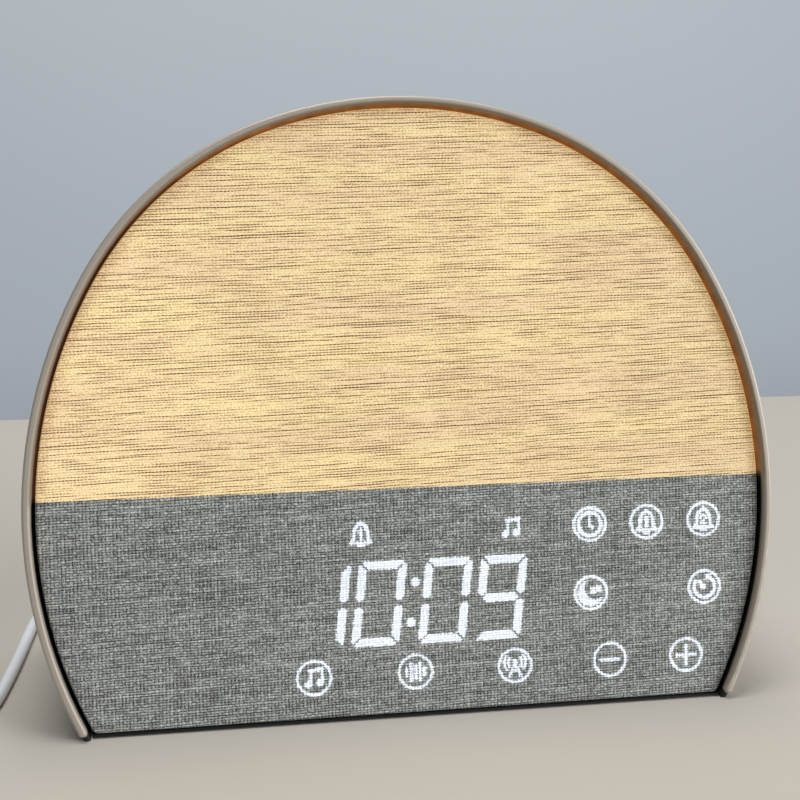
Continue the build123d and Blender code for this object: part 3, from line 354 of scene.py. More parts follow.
def moon_symbol(p):
    outer, inner = disc_distance(p, (-0.15, -0.15), 3.75), disc_distance(p, (1.35, 1.3), 3.2)
    strokes = [
        ((0.1, 1.3), (1.2, 1.3)), ((1.2, 1.3), (0.1, 0.1)), ((0.1, 0.1), (1.2, 0.1)),
        ((1.9, 1.6), (2.9, 1.6)), ((2.9, 1.6), (1.9, 0.5)), ((1.9, 0.5), (2.9, 0.5)),
    ]
    return union(np.minimum(outer, -inner), bars(p, *[(a, b, 0.36) for a, b in strokes]))


def countdown_symbol(p):
    return union(
        arc_distance(p, (0, 0), 3.1, 0.5, 150, 410),
        polygon_distance(p, [(0.2, 3.7), (2.3, 3.0), (0.5, 2.0)]),
        bar_distance(p, (-0.2, 0.1), (-1.5, 1.5), 0.42),
        disc_distance(p, (-0.35, 0.1), 0.85),
    )


def note_symbol(p):
    return union(
        disc_distance(p, (-1.65, -1.8), 1.0),
        disc_distance(p, (1.55, -1.4), 1.0),
        bars(p, ((-0.95, -1.7), (-0.95, 2.0), 0.38), ((2.25, -1.3), (2.25, 2.4), 0.38),
             ((-0.95, 2.0), (2.25, 2.4), 0.55)),
    )


def sound_symbol(p):
    heights = ((-2.5, 1.0), (-1.25, 2.3), (0.0, 1.7), (1.25, 2.3), (2.5, 1.0))
    return bars(p, *[((x, -h), (x, h), 0.46) for x, h in heights])


def mast_symbol(p):
    legs = [((0, 0.6), (side * 1.6, -2.9), 0.4) for side in (-1, 1)]
    waves = [
        arc_distance(p, (0, 0.9), radius, 0.36, a, a + 80)
        for radius in (1.95, 3.1) for a in (-40, 140)
    ]
    mast = bars(p, *legs, ((-0.85, -1.4), (0.85, -1.4), 0.36))
    return union(mast, disc_distance(p, (0, 0.9), 0.8), *waves)


def minus_symbol(p):
    return bar_distance(p, (-2.75, 0), (2.75, 0), 0.5)


def plus_symbol(p):
    return union(minus_symbol(p), bar_distance(p, (0, -2.75), (0, 2.75), 0.5))


ICON_LEFT, ICON_MIDDLE, ICON_RIGHT = 51.1, 68.0, 85.2
ICON_TOP, ICON_CENTRE, ICON_FOOT = -1.6, -21.3, -40.9
RINGED = [
    ((ICON_LEFT, ICON_TOP), clock_symbol),
    ((ICON_MIDDLE, ICON_TOP), lambda p: bell(p, figure_one)),
    ((ICON_RIGHT, ICON_TOP), lambda p: bell(p, figure_two)),
    ((ICON_LEFT, ICON_CENTRE), moon_symbol),
    ((ICON_RIGHT, ICON_CENTRE), countdown_symbol),
    ((56.4, ICON_FOOT), minus_symbol),
    ((79.3, ICON_FOOT), plus_symbol),
    ((-28.7, ICON_FOOT), note_symbol),
    ((-0.2, ICON_FOOT), sound_symbol),
    ((28.4, ICON_FOOT), mast_symbol),
]
STATUS = [((-14.7, -1.5), lambda p: bell(p, figure_one)), ((28.0, -1.5), note_symbol)]
MARGIN = 1.6
STATUS_REACH, DISPLAY_REACH = (4.8, 5.2), (36.0, 13.6)
DISPLAY_X, DOT_R = -1.0, 1.25

# each figure: the middle and the half size of the box that it needs on the face, and its distance
figures = []
for centre, symbol in RINGED:
    reach = RING_R + RING_HALF + MARGIN
    figures.append((centre, (reach, reach), lambda p, c=centre, s=symbol: union(
        ring_distance(p, c, RING_R, RING_HALF), s(p - c))))
for centre, symbol in STATUS:
    figures.append((centre, STATUS_REACH, lambda p, c=centre, s=symbol: s(p - c)))


def display_distance(p):
    dots = [disc_distance(p, dot, DOT_R) for dot in COLON]
    return union(*dots, *[digit_distance(p, x, shown) for x, shown in zip(DIGIT_X, SHOWN)])


figures.append(((DISPLAY_X, DIGIT_MID), DISPLAY_REACH, display_distance))
print("figures behind the cloth:", len(figures))


# %% [markdown]
# The woven face. It is one sheet of cloth stretched over a frame, its edge rolled round the
# frame's rim and folded back. A uniform grid fine enough for the figures would be enormous, so
# a Delaunay triangulation puts fine points only where a figure is and coarse ones elsewhere.
# The roll and the folded edge are rows of quads round the same outline. A UV map in
# millimetres runs on over the roll, so the threads do too.

# %% Mesh of the woven face
ROLL, ROLL_ANGLES = 0.8, (0.4, 0.8, 1.2, math.pi / 2)
FOLD_DEPTHS = (2.8, 4.8, 6.8)
FINE_STEP, COARSE_STEP, HALF_WIDTH = 0.27, 3.6, 105
RIM_CLEAR, FIGURE_CLEAR = 1.2, 0.6  # what coarse points keep clear of
RIM_REACH = 25.0
MERGE = 1e-5


def grid(x0, x1, z0, z1, step):
    xs = np.arange(math.ceil((x1 - x0) / step) + 1) * step + x0
    zs = np.arange(math.ceil((z1 - z0) / step) + 1) * step + z0
    return np.array([(x, z) for z in zs for x in xs])


def face_points():
    """Free points inside the sheet and their distance to the nearest figure."""
    patches = []
    for (x, z), (w, h), distance in figures:
        points = grid(x - w, x + w, z - h, z + h, FINE_STEP)
        patches.append((points, distance(points)))
    coarse = grid(-HALF_WIDTH, HALF_WIDTH, CLOTH_LOW, CREST_Z, COARSE_STEP)
    keep = polygon_distance(coarse, outline(-ROLL)) > RIM_CLEAR
    for (x, z), (w, h), _ in figures:
        near_x = np.abs(coarse[:, 0] - x) < w + FIGURE_CLEAR
        keep &= ~(near_x & (np.abs(coarse[:, 1] - z) < h + FIGURE_CLEAR))
    coarse = coarse[keep]
    points = np.concatenate([patch for patch, _ in patches] + [coarse])
    values = np.concatenate([value for _, value in patches] + [np.full(len(coarse), -MARGIN)])
    return points, np.clip(values, -MARGIN, MARGIN)


rim = outline(-ROLL)
free, free_values = face_points()
flat = [Vector(p) for p in rim] + [Vector(p) for p in free]
edges = [(i, (i + 1) % len(rim)) for i in range(len(rim))]
corners, _, triangles, sources, _, _ = delaunay_2d_cdt(flat, edges, [], 1, MERGE)
values = np.concatenate([np.full(len(rim), -MARGIN), free_values])

vertices = [on_face(p.x, 0, p.y) for p in corners]
threads = [(p.x, p.y) for p in corners]
glow = [max(values[i] for i in source) if source else -MARGIN for source in sources]
# how far each point lies inside the edge of the flat front, up to a limit
inset = list(np.clip(polygon_distance(np.array(threads), rim[::4]), 0.0, RIM_REACH))
faces = [list(triangle) for triangle in triangles]
rim_at = {source[0]: i for i, source in enumerate(sources) if source and source[0] < len(rim)}
last_row = [rim_at[i] for i in range(len(rim))]

# the roll: a quarter circle all round, then the fold back along the arch alone
rows = [(ROLL * (math.sin(a) - 1), ROLL * (1 - math.cos(a)), ROLL * a) for a in ROLL_ANGLES]
rows += [(0.0, y, ROLL * math.pi / 2 + y - ROLL) for y in FOLD_DEPTHS]
for grow, depth, run in rows:
    loop, flat_loop = outline(grow), outline(run - ROLL)
    closed = depth <= ROLL
    count = len(loop) if closed else ARCH_STEPS + 1
    row = []
    for i in range(count):
        row.append(len(vertices))
        vertices.append(on_face(loop[i][0], depth, loop[i][1]))
        threads.append(flat_loop[i])
        glow.append(-MARGIN)
        inset.append(-run)
    for i in range(count if closed else count - 1):
        j = (i + 1) % len(row)
        faces.append([last_row[i], last_row[j], row[j], row[i]])
    last_row = row

mesh = bpy.data.meshes.new("woven_face")
mesh.from_pydata(vertices, [], faces)
uv = np.array([threads[loop.vertex_index] for loop in mesh.loops], np.float32)
mesh.uv_layers.new(name="threads").data.foreach_set("uv", uv.ravel())
for label, numbers in (("figure", glow), ("inset", inset)):
    attribute = mesh.attributes.new(label, "FLOAT", "POINT")
    attribute.data.foreach_set("value", np.array(numbers, np.float32))
mesh.polygons.foreach_set("use_smooth", [True] * len(mesh.polygons))
mesh.update()
woven_face = new_object("woven_face", mesh)
print("woven face:", len(mesh.vertices), "points,", len(mesh.polygons), "faces")


# %% [markdown]
# Which way is out? The Delaunay triangles may come with either winding, so the first
# triangle's normal is compared with the face's forward direction and all are turned if needed.

# %% Turn the cloth outwards
forward = FACE.to_3x3() @ Vector((0, -1, 0))
front, fold = mesh.polygons[0], mesh.polygons[-1]
if front.normal.dot(forward) < 0:
    mesh.flip_normals()
print("front faces forward:", front.normal.dot(forward) > 0)
print("fold faces outward:", fold.normal.dot(fold.center - FACE.translation) > 0)
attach(woven_face, "case")
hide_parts("front_fabric")


# %% [markdown]
# Node graphs in code. Materials are long chains of small sums. This helper adds one node per
# call and returns its output, so that a chain reads like arithmetic.

# %% Helper for node graphs
class Graph:
    def __init__(self, tree):
        self.tree = tree

    def add(self, kind, *feeds, out=0, **settings):
        """Adds a node and returns an output. Inputs are fed by order or by name, as in_name."""
        node = self.tree.nodes.new(kind)
        named = {key[3:]: settings.pop(key) for key in list(settings) if key.startswith("in_")}
        for key, value in settings.items():
            setattr(node, key, value)
        for socket, value in zip(node.inputs, feeds):
            self.feed(socket, value)
        for key, value in named.items():
            self.feed(node.inputs[key.replace("_", " ").title()], value)
        return node.outputs[out]

    def feed(self, socket, value):
        """Links an output to a socket, or sets the socket's own constant."""
        if isinstance(value, bpy.types.NodeSocket):
            self.tree.links.new(value, socket)
        else:
            socket.default_value = value

    def math(self, operation, *feeds):
        return self.add("ShaderNodeMath", *feeds, operation=operation)

    def plus(self, one, two):
        return self.math("ADD", one, two)

    def minus(self, one, two):
        return self.math("SUBTRACT", one, two)

    def times(self, product, *factors):
        """Product of two or more values."""
        for factor in factors:
            product = self.math("MULTIPLY", product, factor)
        return product

    def affine(self, value, slope, base):
        """A value times a slope, plus a base."""
        return self.math("MULTIPLY_ADD", value, slope, base)

    def sway(self, value, strength, base):
        """A base, moved by how far a value is off one half, times a strength."""
        return self.affine(self.minus(value, 0.5), strength, base)

    def split(self, vector):
        node = self.tree.nodes.new("ShaderNodeSeparateXYZ")
        self.feed(node.inputs[0], vector)
        return tuple(node.outputs)

    def join(self, x, y, z):
        return self.add("ShaderNodeCombineXYZ", x, y, z)

    def ramp(self, value, low, high, to_low=0.0, to_high=1.0, kind="SMOOTHSTEP"):
        """Maps a range to another, with soft ends unless told otherwise."""
        return self.add(
            "ShaderNodeMapRange", value, low, high, to_low, to_high, interpolation_type=kind)

    def mix(self, share, one, two):
        """Mixes two colours."""
        node = self.tree.nodes.new("ShaderNodeMix")
        node.data_type = "RGBA"
        self.feed(node.inputs["Factor"], share)
        self.feed(node.inputs[6], one)
        self.feed(node.inputs[7], two)
        return node.outputs[2]

    def dim(self, tint, share):
        """A colour times a value."""
        return self.add(
            "ShaderNodeVectorMath", tint, self.join(share, share, share), operation="MULTIPLY")

    def spot(self):
        """The place on the piece, in metres."""
        return self.add("ShaderNodeTexCoord", out=3)

    def noise(self, vector, scale, detail=2.0, rough=0.5):
        return self.add(
            "ShaderNodeTexNoise", in_vector=vector, in_scale=scale, in_detail=detail,
            in_roughness=rough)

    def paint(self, shader, tint):
        self.feed(shader.inputs["Base Color"], tint)

    def bump(self, shader, height, strength, depth):
        """Feeds a shader's normal from a height, over a depth in millimetres."""
        self.feed(shader.inputs["Normal"], self.add(
            "ShaderNodeBump", in_height=height, in_strength=strength, in_distance=depth * MM))

    def strand(self, along, stretch, row, salt, seed, detail=2.0, rough=0.5):
        """Noise along a row, another for each row; salt and seed set its uses apart."""
        line = self.join(self.times(along, stretch), self.times(row, salt), seed)
        return self.noise(line, 1.0, detail, rough)


def rgb(red, green, blue):
    return (red, green, blue, 1.0)


def new_tree(name, kind, inputs, outputs):
    """An empty node tree with its sockets, its graph, its inputs and its outputs."""
    tree = bpy.data.node_groups.new(name, kind)
    for label, socket_kind, value in inputs:
        socket = tree.interface.new_socket(label, in_out="INPUT", socket_type=socket_kind)
        if value is not None:
            socket.default_value = value
    for label, socket_kind in outputs:
        tree.interface.new_socket(label, in_out="OUTPUT", socket_type=socket_kind)
    entry, end = tree.nodes.new("NodeGroupInput"), tree.nodes.new("NodeGroupOutput")
    return tree, Graph(tree), entry.outputs, end.inputs


def use_group(graph, tree, **feeds):
    """Places a group in a material and returns its outputs by name."""
    node = graph.tree.nodes.new("ShaderNodeGroup")
    node.node_tree = tree
    for label, value in feeds.items():
        graph.feed(node.inputs[label.replace("_", " ").capitalize()], value)
    return node.outputs


# %% [markdown]
# Plain weave. Warp threads run up the face and weft threads across, and each passes over and
# under the others in turn. A product of two cosines is +1 and -1 at alternate crossings, so it
# tells which thread is on top and bends both smoothly. Every thread has its own width and tone,
# the weft swells here and there into slubs, as spun linen does, and some weft yarn is dark.

# %% Weave group
FLOAT, VECTOR, COLOUR = "NodeSocketFloat", "NodeSocketVector", "NodeSocketColor"
WARP_PITCH, WEFT_PITCH = 0.98, 0.715  # millimetres from thread to thread
WEFT_SLOPE = 0.026  # the weft rises this much to the right
weave, g, weave_in, weave_out = new_tree(
    "plain weave", "ShaderNodeTree",
    [("Threads", VECTOR, None), ("Warp pitch", FLOAT, WARP_PITCH),
     ("Weft pitch", FLOAT, WEFT_PITCH), ("Wander", FLOAT, 0.9)],
    [(label, FLOAT) for label in ("Height", "Line", "Column", "Slub", "Dark yarn", "Tone", "Fuzz")],
)


def thread_profile(g, number, along, width, swell, stretch):
    """Round profile, own tone and slow change along one family of threads."""
    index = g.math("ROUND", number)
    own = g.add("ShaderNodeTexWhiteNoise", in_w=index, noise_dimensions="1D")
    run = g.strand(along, stretch, index, 7.31, 0.0, 3.0, 0.6)
    waver = g.strand(along, 0.45, index, 3.77, 5.0)
    offset = g.minus(g.minus(number, index), g.affine(waver, 0.5, -0.25))
    half = g.plus(width, g.times(g.minus(run, 0.5), swell))
    half = g.plus(half, g.times(g.minus(own, 0.5), 0.12))
    ratio = g.math("DIVIDE", offset, half)
    square = g.minus(1.0, g.times(ratio, ratio))
    return g.math("SQRT", g.math("MAXIMUM", square, 0.0)), own, run


# thread numbers across and up, wandering a little from straight lines
slow = g.minus(g.noise(weave_in["Threads"], 0.035), 0.5)
x, y, _ = g.split(weave_in["Threads"])
bend = g.times(slow, weave_in["Wander"])
u = g.math("DIVIDE", g.plus(x, bend), weave_in["Warp pitch"])
tilted = g.affine(x, -WEFT_SLOPE, g.affine(bend, 0.8, y))
v = g.math("DIVIDE", tilted, weave_in["Weft pitch"])
warp, warp_own, warp_run = thread_profile(g, u, v, 0.37, 0.3, 0.16)
weft, weft_own, weft_run = thread_profile(g, v, u, 0.44, 0.4, 0.11)
crossing = g.times(*[g.math("COSINE", g.times(number, math.pi)) for number in (u, v)])
warp_top = g.times(warp, g.affine(crossing, 0.13, 0.66))
weft_top = g.times(weft, g.affine(crossing, -0.13, 0.71))
fuzz = g.noise(weave_in["Threads"], 1.9, 2.0, 0.7)
height = g.sway(fuzz, 1.1, g.math("MAXIMUM", warp_top, weft_top))
knot = g.join(g.math("ROUND", u), g.math("ROUND", v), 0.5)
cell = g.add("ShaderNodeTexWhiteNoise", in_vector=knot, noise_dimensions="2D")
tone_warp = g.affine(warp_own, 0.1, g.times(g.ramp(warp_run, 0.3, 0.7), 0.35))
tone_weft = g.affine(weft_own, 0.15, g.times(g.ramp(weft_run, 0.32, 0.68), 0.45))
on_top = g.math("GREATER_THAN", weft_top, warp_top)
tone = g.affine(g.minus(tone_weft, tone_warp), on_top, tone_warp)
tone = g.sway(fuzz, 0.7, g.affine(cell, 0.36, tone))


def streaks(seed, stretch, low, high, shift=0.0):
    """Long patches that run along single rows of weft."""
    number = g.math("FLOOR", g.plus(v, shift))
    return g.ramp(g.strand(u, stretch, number, 3.17, seed, 3.0, 0.6), low, high)


# the narrow gap between two rows of weft, dotted where the warp crosses it; rows lie in pairs,
# so every second gap is wider
row = g.math("FLOOR", v)
middle = g.sway(g.strand(u, 0.05, row, 5.13, 2.0), 1.1, 0.5)
beside = g.math("ABSOLUTE", g.minus(g.math("FRACT", v), middle))
gap = g.ramp(beside, 0.3, 0.06)
slide = g.times(g.strand(u, 0.12, row, 2.71, 11.0, 1.0), 7.0)
dots = g.affine(g.math("COSINE", g.affine(u, 2 * math.pi, slide)), -0.38, 0.74)
pairing = g.math("COSINE", g.times(row, math.pi))
open_gap = g.math("MAXIMUM", streaks(9.0, 0.075, 0.36, 0.64), 0.15)
open_gap = g.times(open_gap, g.affine(pairing, 0.25, 0.9))
# gaps between warp threads, short upright dashes where the cloth paints shade
upright = g.strand(v, 0.34, g.math("FLOOR", u), 4.71, 7.0, 3.0, 0.65)
column = g.ramp(g.math("ABSOLUTE", g.minus(g.math("FRACT", u), 0.5)), 0.24, 0.05)
for label, value in {
    "Height": height,
    "Line": g.times(gap, open_gap, dots),
    "Column": g.times(column, g.ramp(upright, 0.4, 0.66)),
    "Slub": g.times(streaks(2.0, 0.03, 0.6, 0.7, 0.5), g.ramp(beside, 0.22, 0.42)),
    "Dark yarn": g.times(
        streaks(4.0, 0.035, 0.54, 0.7), g.times(g.ramp(beside, 0.38, 0.1), dots)),
    "Tone": tone,
    "Fuzz": fuzz,
}.items():
    g.feed(weave_out[label], value)


# %% [markdown]
# The cloth's finish. Unlit cloth is grey linen, with painted shade where its threads dip, in its
# pores and in the gaps between threads. Behind the upper part a warm lamp board makes the sheet
# glow: thin yarn lets most light through, and dark yarn shows as long brown dashes. There the
# yarn's colour is painted a warmer brown and its painted shade is lighter. The figures shine white,
# their edge follows the threads, and a faint halo of light spreads in the yarn around them. At the
# rolled edge the light turns amber.

# %% Cloth material
LIT_FROM = 11.05  # the level of the face where the glow begins


def new_material(name, constants=()):
    """A new material with its graph and shader; constants are pairs of a socket and a value."""
    material = bpy.data.materials.new(name)
    material.use_nodes = True
    shader = material.node_tree.nodes["Principled BSDF"]
    for label, value in constants:
        shader.inputs[label].default_value = value
    return material, Graph(material.node_tree), shader


cloth, g, shader = new_material(
    "linen cloth", [("Roughness", 0.85), ("Sheen Weight", 0.12), ("Emission Strength", 1.0)])
threads_uv = g.add("ShaderNodeUVMap", uv_map="threads")
across, level, _ = g.split(threads_uv)
w = use_group(g, weave, threads=threads_uv)
figure, inset = [
    g.add("ShaderNodeAttribute", attribute_name=name, out=2) for name in ("figure", "inset")]

frayed = g.affine(g.minus(w["Height"], 0.52), 0.5, figure)
frayed = g.plus(frayed, g.times(g.minus(w["Tone"], 0.5), 0.2))
shines = g.ramp(frayed, -0.17, 0.19)
halo = g.times(g.math("POWER", g.ramp(figure, -1.5, 0.2, kind="LINEAR"), 2.5), 0.12)
lit = g.ramp(g.sway(w["Height"], 0.5, g.minus(level, LIT_FROM)), -0.25, 0.25)

# the yarn's own colour, its slubs and its dark yarn; where the lamps glow through it, a warmer
# brown is painted in as their light
yarn = g.mix(w["Tone"], rgb(0.15, 0.157, 0.142), rgb(0.75, 0.775, 0.72))
yarn = g.mix(w["Slub"], yarn, rgb(0.72, 0.74, 0.7))
yarn = g.mix(g.times(lit, 0.8), yarn, rgb(0.22, 0.165, 0.095))
yarn = g.mix(g.times(w["Dark yarn"], g.affine(lit, 0.6, 0.3)), yarn, rgb(0.04, 0.03, 0.025))
# painted shade: darker where the threads dip and in the gaps between rows and threads, lighter
# where the lamps glow through
shade = g.ramp(w["Height"], 0.2, 0.76, kind="LINEAR")
shade = g.affine(lit, g.times(g.minus(0.8, shade), 0.5), shade)
shade = g.times(
    shade,
    g.affine(w["Column"], g.affine(lit, 0.62, -0.72), 1.0),
    g.affine(w["Line"], g.affine(lit, -0.1, -0.9), 1.0),
)
# the painted shade darkens the yarn towards black
g.paint(shader, g.mix(shade, rgb(0.01, 0.01, 0.01), yarn))

# how much of the lamps' light comes through, and the colour that it takes on its way
through = g.times(
    g.ramp(w["Tone"], 0.1, 0.9, 0.94, 0.88, kind="LINEAR"),
    g.ramp(w["Fuzz"], 0.3, 0.7, 0.78, 1.1),
    g.affine(w["Column"], -0.05, 1.0),
    g.ramp(g.noise(threads_uv, 0.045, 3.0), 0.3, 0.7, 0.93, 1.02),
    g.affine(w["Line"], -0.98, 1.0),
    g.affine(w["Dark yarn"], -0.95, 1.0),
    g.ramp(inset, 0.0, 3.5, 0.84, 1.0),
)
band = g.strand(across, 0.012, level, 0.09, 3.0, 3.0)
clear = g.mix(g.ramp(band, 0.32, 0.68), rgb(0.785, 0.582, 0.318), rgb(0.84, 0.672, 0.318))
warm = g.mix(g.ramp(through, 0.05, 0.55), rgb(0.06, 0.02, 0.006), rgb(0.31, 0.155, 0.05))
warm = g.mix(g.ramp(through, 0.45, 0.92), warm, clear)
# the lamps at the left shine a little more, those at the right a little less
evenness = g.times(g.ramp(across, -95.0, -30.0, 1.11, 1.0), g.ramp(across, 35.0, 95.0, 1.0, 0.95))
warm = g.dim(warm, evenness)
leak = g.ramp(g.noise(threads_uv, 0.22, 3.0, 0.7), 0.3, 0.68)
leak = g.mix(leak, rgb(0.36, 0.13, 0.03), rgb(1.0, 0.42, 0.09))
leak = g.mix(g.ramp(across, -90.0, -40.0), rgb(0.16, 0.07, 0.026), leak)
warm = g.mix(g.ramp(inset, -1.3, -0.1), leak, warm)
white = g.mix(w["Height"], rgb(0.56, 0.6, 0.68), rgb(0.76, 0.8, 0.89))
unlit = g.mix(halo, rgb(0, 0, 0), rgb(0.55, 0.75, 0.95))
g.feed(shader.inputs["Emission Color"], g.mix(shines, g.mix(lit, unlit, warm), white))
g.bump(shader, w["Height"], 0.8, 0.25)
woven_face.data.materials.append(cloth)


# %% [markdown]
# Moulded plastic. The steel mould of such a case is etched, so the plastic carries a fine
# even grain, with slow changes in gloss where hands and packing have rubbed it. Hoop, cover,
# feet and plugs share one group for this and differ only in scale, depth and colour.

# %% Moulded grain group
grain, g, grain_in, grain_out = new_tree(
    "moulded grain", "ShaderNodeTree",
    [("Grain size", FLOAT, 0.35), ("Tint", FLOAT, 0.05), ("Gloss change", FLOAT, 0.08),
     ("Roughness", FLOAT, 0.5), ("Colour", COLOUR, rgb(0.5, 0.5, 0.5))],
    [("Colour", COLOUR), ("Roughness", FLOAT), ("Height", FLOAT)],
)
spot = g.spot()
per_metre = g.math("DIVIDE", 1000.0, grain_in["Grain size"])
pits = g.add("ShaderNodeTexVoronoi", in_vector=spot, in_scale=per_metre, feature="SMOOTH_F1")
fine = g.noise(spot, g.times(per_metre, 1.7))
slow = g.noise(spot, 28.0, 3.0)
tint = g.dim(
    grain_in["Colour"], g.minus(1.0, g.times(g.minus(slow, 0.3), grain_in["Tint"])))
g.feed(grain_out["Height"], g.plus(pits, g.times(fine, 0.5)))
g.feed(grain_out["Roughness"], g.sway(slow, grain_in["Gloss change"], grain_in["Roughness"]))
g.feed(grain_out["Colour"], g.mix(1.0, rgb(0, 0, 0), tint))


def plastic(
        name, tint, rough, size=0.35, depth=0.012, strength=0.25, change=0.08, constants=()):
    """A moulded plastic or rubber with its own colour, gloss and grain, in millimetres."""
    material, g, shader = new_material(name, constants)
    m = use_group(
        g, grain, grain_size=size, gloss_change=change, roughness=rough, colour=rgb(*tint))
    g.paint(shader, m["Colour"])
    g.feed(shader.inputs["Roughness"], m["Roughness"])
    g.bump(shader, m["Height"], strength, depth)
    return material, g, shader


# %% [markdown]
# The lacquer of the hoop holds fine metal flakes. Where the lip of the hoop turns inwards, a
# darker brown is painted as the shade that falls there, and beside the dark cloth, down in the
# gap, painted shade fades it to black.

# %% Finishes of the plastics
finishes = {"cloth": cloth}
finishes["shell_plastic"], g, shader = plastic(
    "taupe plastic", (0.46, 0.41, 0.345), 0.56, 0.3, 0.01, constants=[("Metallic", 0.4)])
HOOP_MIDDLE = 0.045  # metres above the table
# between these heights the painted shade changes from black in the gap below to brown above
DARK_FROM, DARK_BELOW = 0.013, 0.009  # heights over the face's origin, in metres
x, y, z = g.split(g.spot())
inwards = g.add(
    "ShaderNodeVectorMath", g.join(g.times(x, -1.0), 0.0, g.minus(HOOP_MIDDLE, z)),
    operation="NORMALIZE")
turned = g.add(
    "ShaderNodeVectorMath", g.add("ShaderNodeTexCoord", out=1), inwards,
    operation="DOT_PRODUCT", out=1)
y, z = g.minus(y, FACE_Y * MM), g.minus(z, FACE_HEIGHT * MM)
behind = g.affine(z, -math.sin(LEAN), g.times(y, math.cos(LEAN)))
# painted shade: black down in the gap beside the dark cloth, below the glowing part
painted_gap_shade = g.times(
    g.ramp(behind, -0.0013, 0.0001), g.ramp(turned, 0.0, 0.6), g.ramp(z, DARK_FROM, DARK_BELOW))
# painted shade: a darker brown on the inward-facing lip, strongest higher up
painted_inner_shade = g.times(g.ramp(turned, -0.1, 0.8), g.ramp(z, DARK_BELOW, DARK_FROM, 0.4, 1.0))
lacquer_and_shade = shader.inputs["Base Color"].links[0].from_socket
# mix in the painted shade: dark brown on the inner lip, then black in the gap
lacquer_and_shade = g.mix(painted_inner_shade, lacquer_and_shade, rgb(0.265, 0.21, 0.163))
g.paint(shader, g.mix(painted_gap_shade, lacquer_and_shade, rgb(0.01, 0.01, 0.009)))

# slot: colour, roughness, grain size, depth and strength, change of gloss, and constants
PLASTICS = {
    "black_plastic": (
        (0.008, 0.008, 0.0085), 0.55, 0.45, 0.02, 0.5, 0.08, [("Specular IOR Level", 0.3)]),
    "white_plastic": ((0.8, 0.8, 0.78), 0.35, 0.5, 0.01),
    "tongue_plastic": ((0.82, 0.82, 0.8), 0.35, 0.5, 0.01),
    "chip_plastic": ((0.02, 0.02, 0.022), 0.6, 0.2, 0.01),
    "cone_paper": ((0.03, 0.03, 0.03), 0.85, 0.6, 0.04, 0.6),
    "black_rubber": ((0.007, 0.007, 0.007), 0.8, 0.4, 0.02, 0.5, 0.15),
    "wire_sleeve": ((0.05, 0.05, 0.055), 0.6, 0.5, 0.02),
    "cord_plastic": ((0.78, 0.81, 0.85), 0.33, 0.5, 0.008, 0.15),
    "ribbon_film": ((0.62, 0.33, 0.09), 0.25, 0.8, 0.01),
    "milky_plastic": ((0.86, 0.83, 0.76), 0.3, 0.6, 0.008),
    "lamp_chip": (
        (0.85, 0.62, 0.18), 0.2, 0.3, 0.01, 0.25, 0.08,
        [("Emission Color", rgb(1.0, 0.55, 0.15)), ("Emission Strength", 0.6)]),
}
for slot, looks in PLASTICS.items():
    finishes[slot] = plastic(slot.replace("_", " "), *looks)[0]
print("plastics:", len(PLASTICS) + 1)


# %% [markdown]
# Metals and boards. Stamped sheet shows fine parallel scratches, and a circuit board shows
# copper tracks as lighter green lines under its solder mask.

# %% Metals and boards
def metal(name, tint, rough, scratch):
    """A metal with fine scratches, given by how many there are to a metre."""
    material, g, shader = new_material(name, [("Metallic", 1.0)])
    stretched = g.add("ShaderNodeMapping", in_vector=g.spot(), in_scale=(1.0, 1.0, 0.06))
    lines = g.noise(stretched, scratch, 3.0, 0.6)
    worn = rgb(*[0.8 * c for c in tint])
    g.paint(shader, g.mix(lines, worn, rgb(*tint)))
    g.feed(shader.inputs["Roughness"], g.ramp(lines, 0.2, 0.8, rough - 0.08, rough + 0.1))
    g.bump(shader, lines, 0.15, 0.01)
    return material


for slot, *looks in (
        ("shield_steel", "plated sheet", (0.66, 0.66, 0.67), 0.3, 900.0),
        ("screw_steel", "dark zinc", (0.32, 0.32, 0.33), 0.36, 1600.0),
        ("magnet_iron", "sintered magnet", (0.1, 0.1, 0.105), 0.55, 2500.0)):
    finishes[slot] = metal(*looks)

finishes["circuit_board"], g, shader = new_material("circuit board", [("Roughness", 0.3)])
spot = g.spot()
tracks = g.add(
    "ShaderNodeTexBrick", in_vector=spot, in_scale=180.0, in_mortar_size=0.03, offset=0.37, out=1)
mask = g.mix(tracks, rgb(0.006, 0.055, 0.022), rgb(0.015, 0.12, 0.045))
mottle = g.ramp(g.noise(spot, 90.0), 0.3, 0.7, 0.0, 0.25)
g.paint(shader, g.mix(mottle, mask, rgb(0.01, 0.085, 0.035)))
g.bump(shader, tracks, 0.3, 0.03)
print("finishes:", len(finishes))


# %% [markdown]
# Fasteners in Geometry Nodes. A pan-head screw is a stack of short cone rings: the head's wall,
# two steps of its rounded edge, the shank and the point. Merged by distance they close into one
# skin, and a cross of two boxes is cut out of the head. The tree puts that screw on every
# point of its input mesh. All sizes are named inputs, so one tree makes all kinds of screw.

# %% Tree for a set of screws
SIDES = 28
GEOMETRY = "NodeSocketGeometry"


def geometry_tree(name, inputs):
    """An empty Geometry Nodes tree with named inputs, its graph, inputs and outputs."""
    return new_tree(
        name, "GeometryNodeTree", [("Geometry", GEOMETRY, None)] + inputs, [("Geometry", GEOMETRY)])


def raised(g, piece, height):
    shift = g.join(0.0, 0.0, height)
    return g.add("GeometryNodeTransform", in_geometry=piece, in_translation=shift)


def ring(g, low, high, start, depth):
    """Open cone ring between two radii, from a height upwards."""
    return raised(g, g.add(
        "GeometryNodeMeshCone", fill_type="NONE", in_vertices=SIDES, in_radius_bottom=low,
        in_radius_top=high, in_depth=depth), start)


def joined(g, parts):
    node = g.tree.nodes.new("GeometryNodeJoinGeometry")
    for part in parts:
        g.tree.links.new(part, node.inputs[0])
    return node.outputs[0]


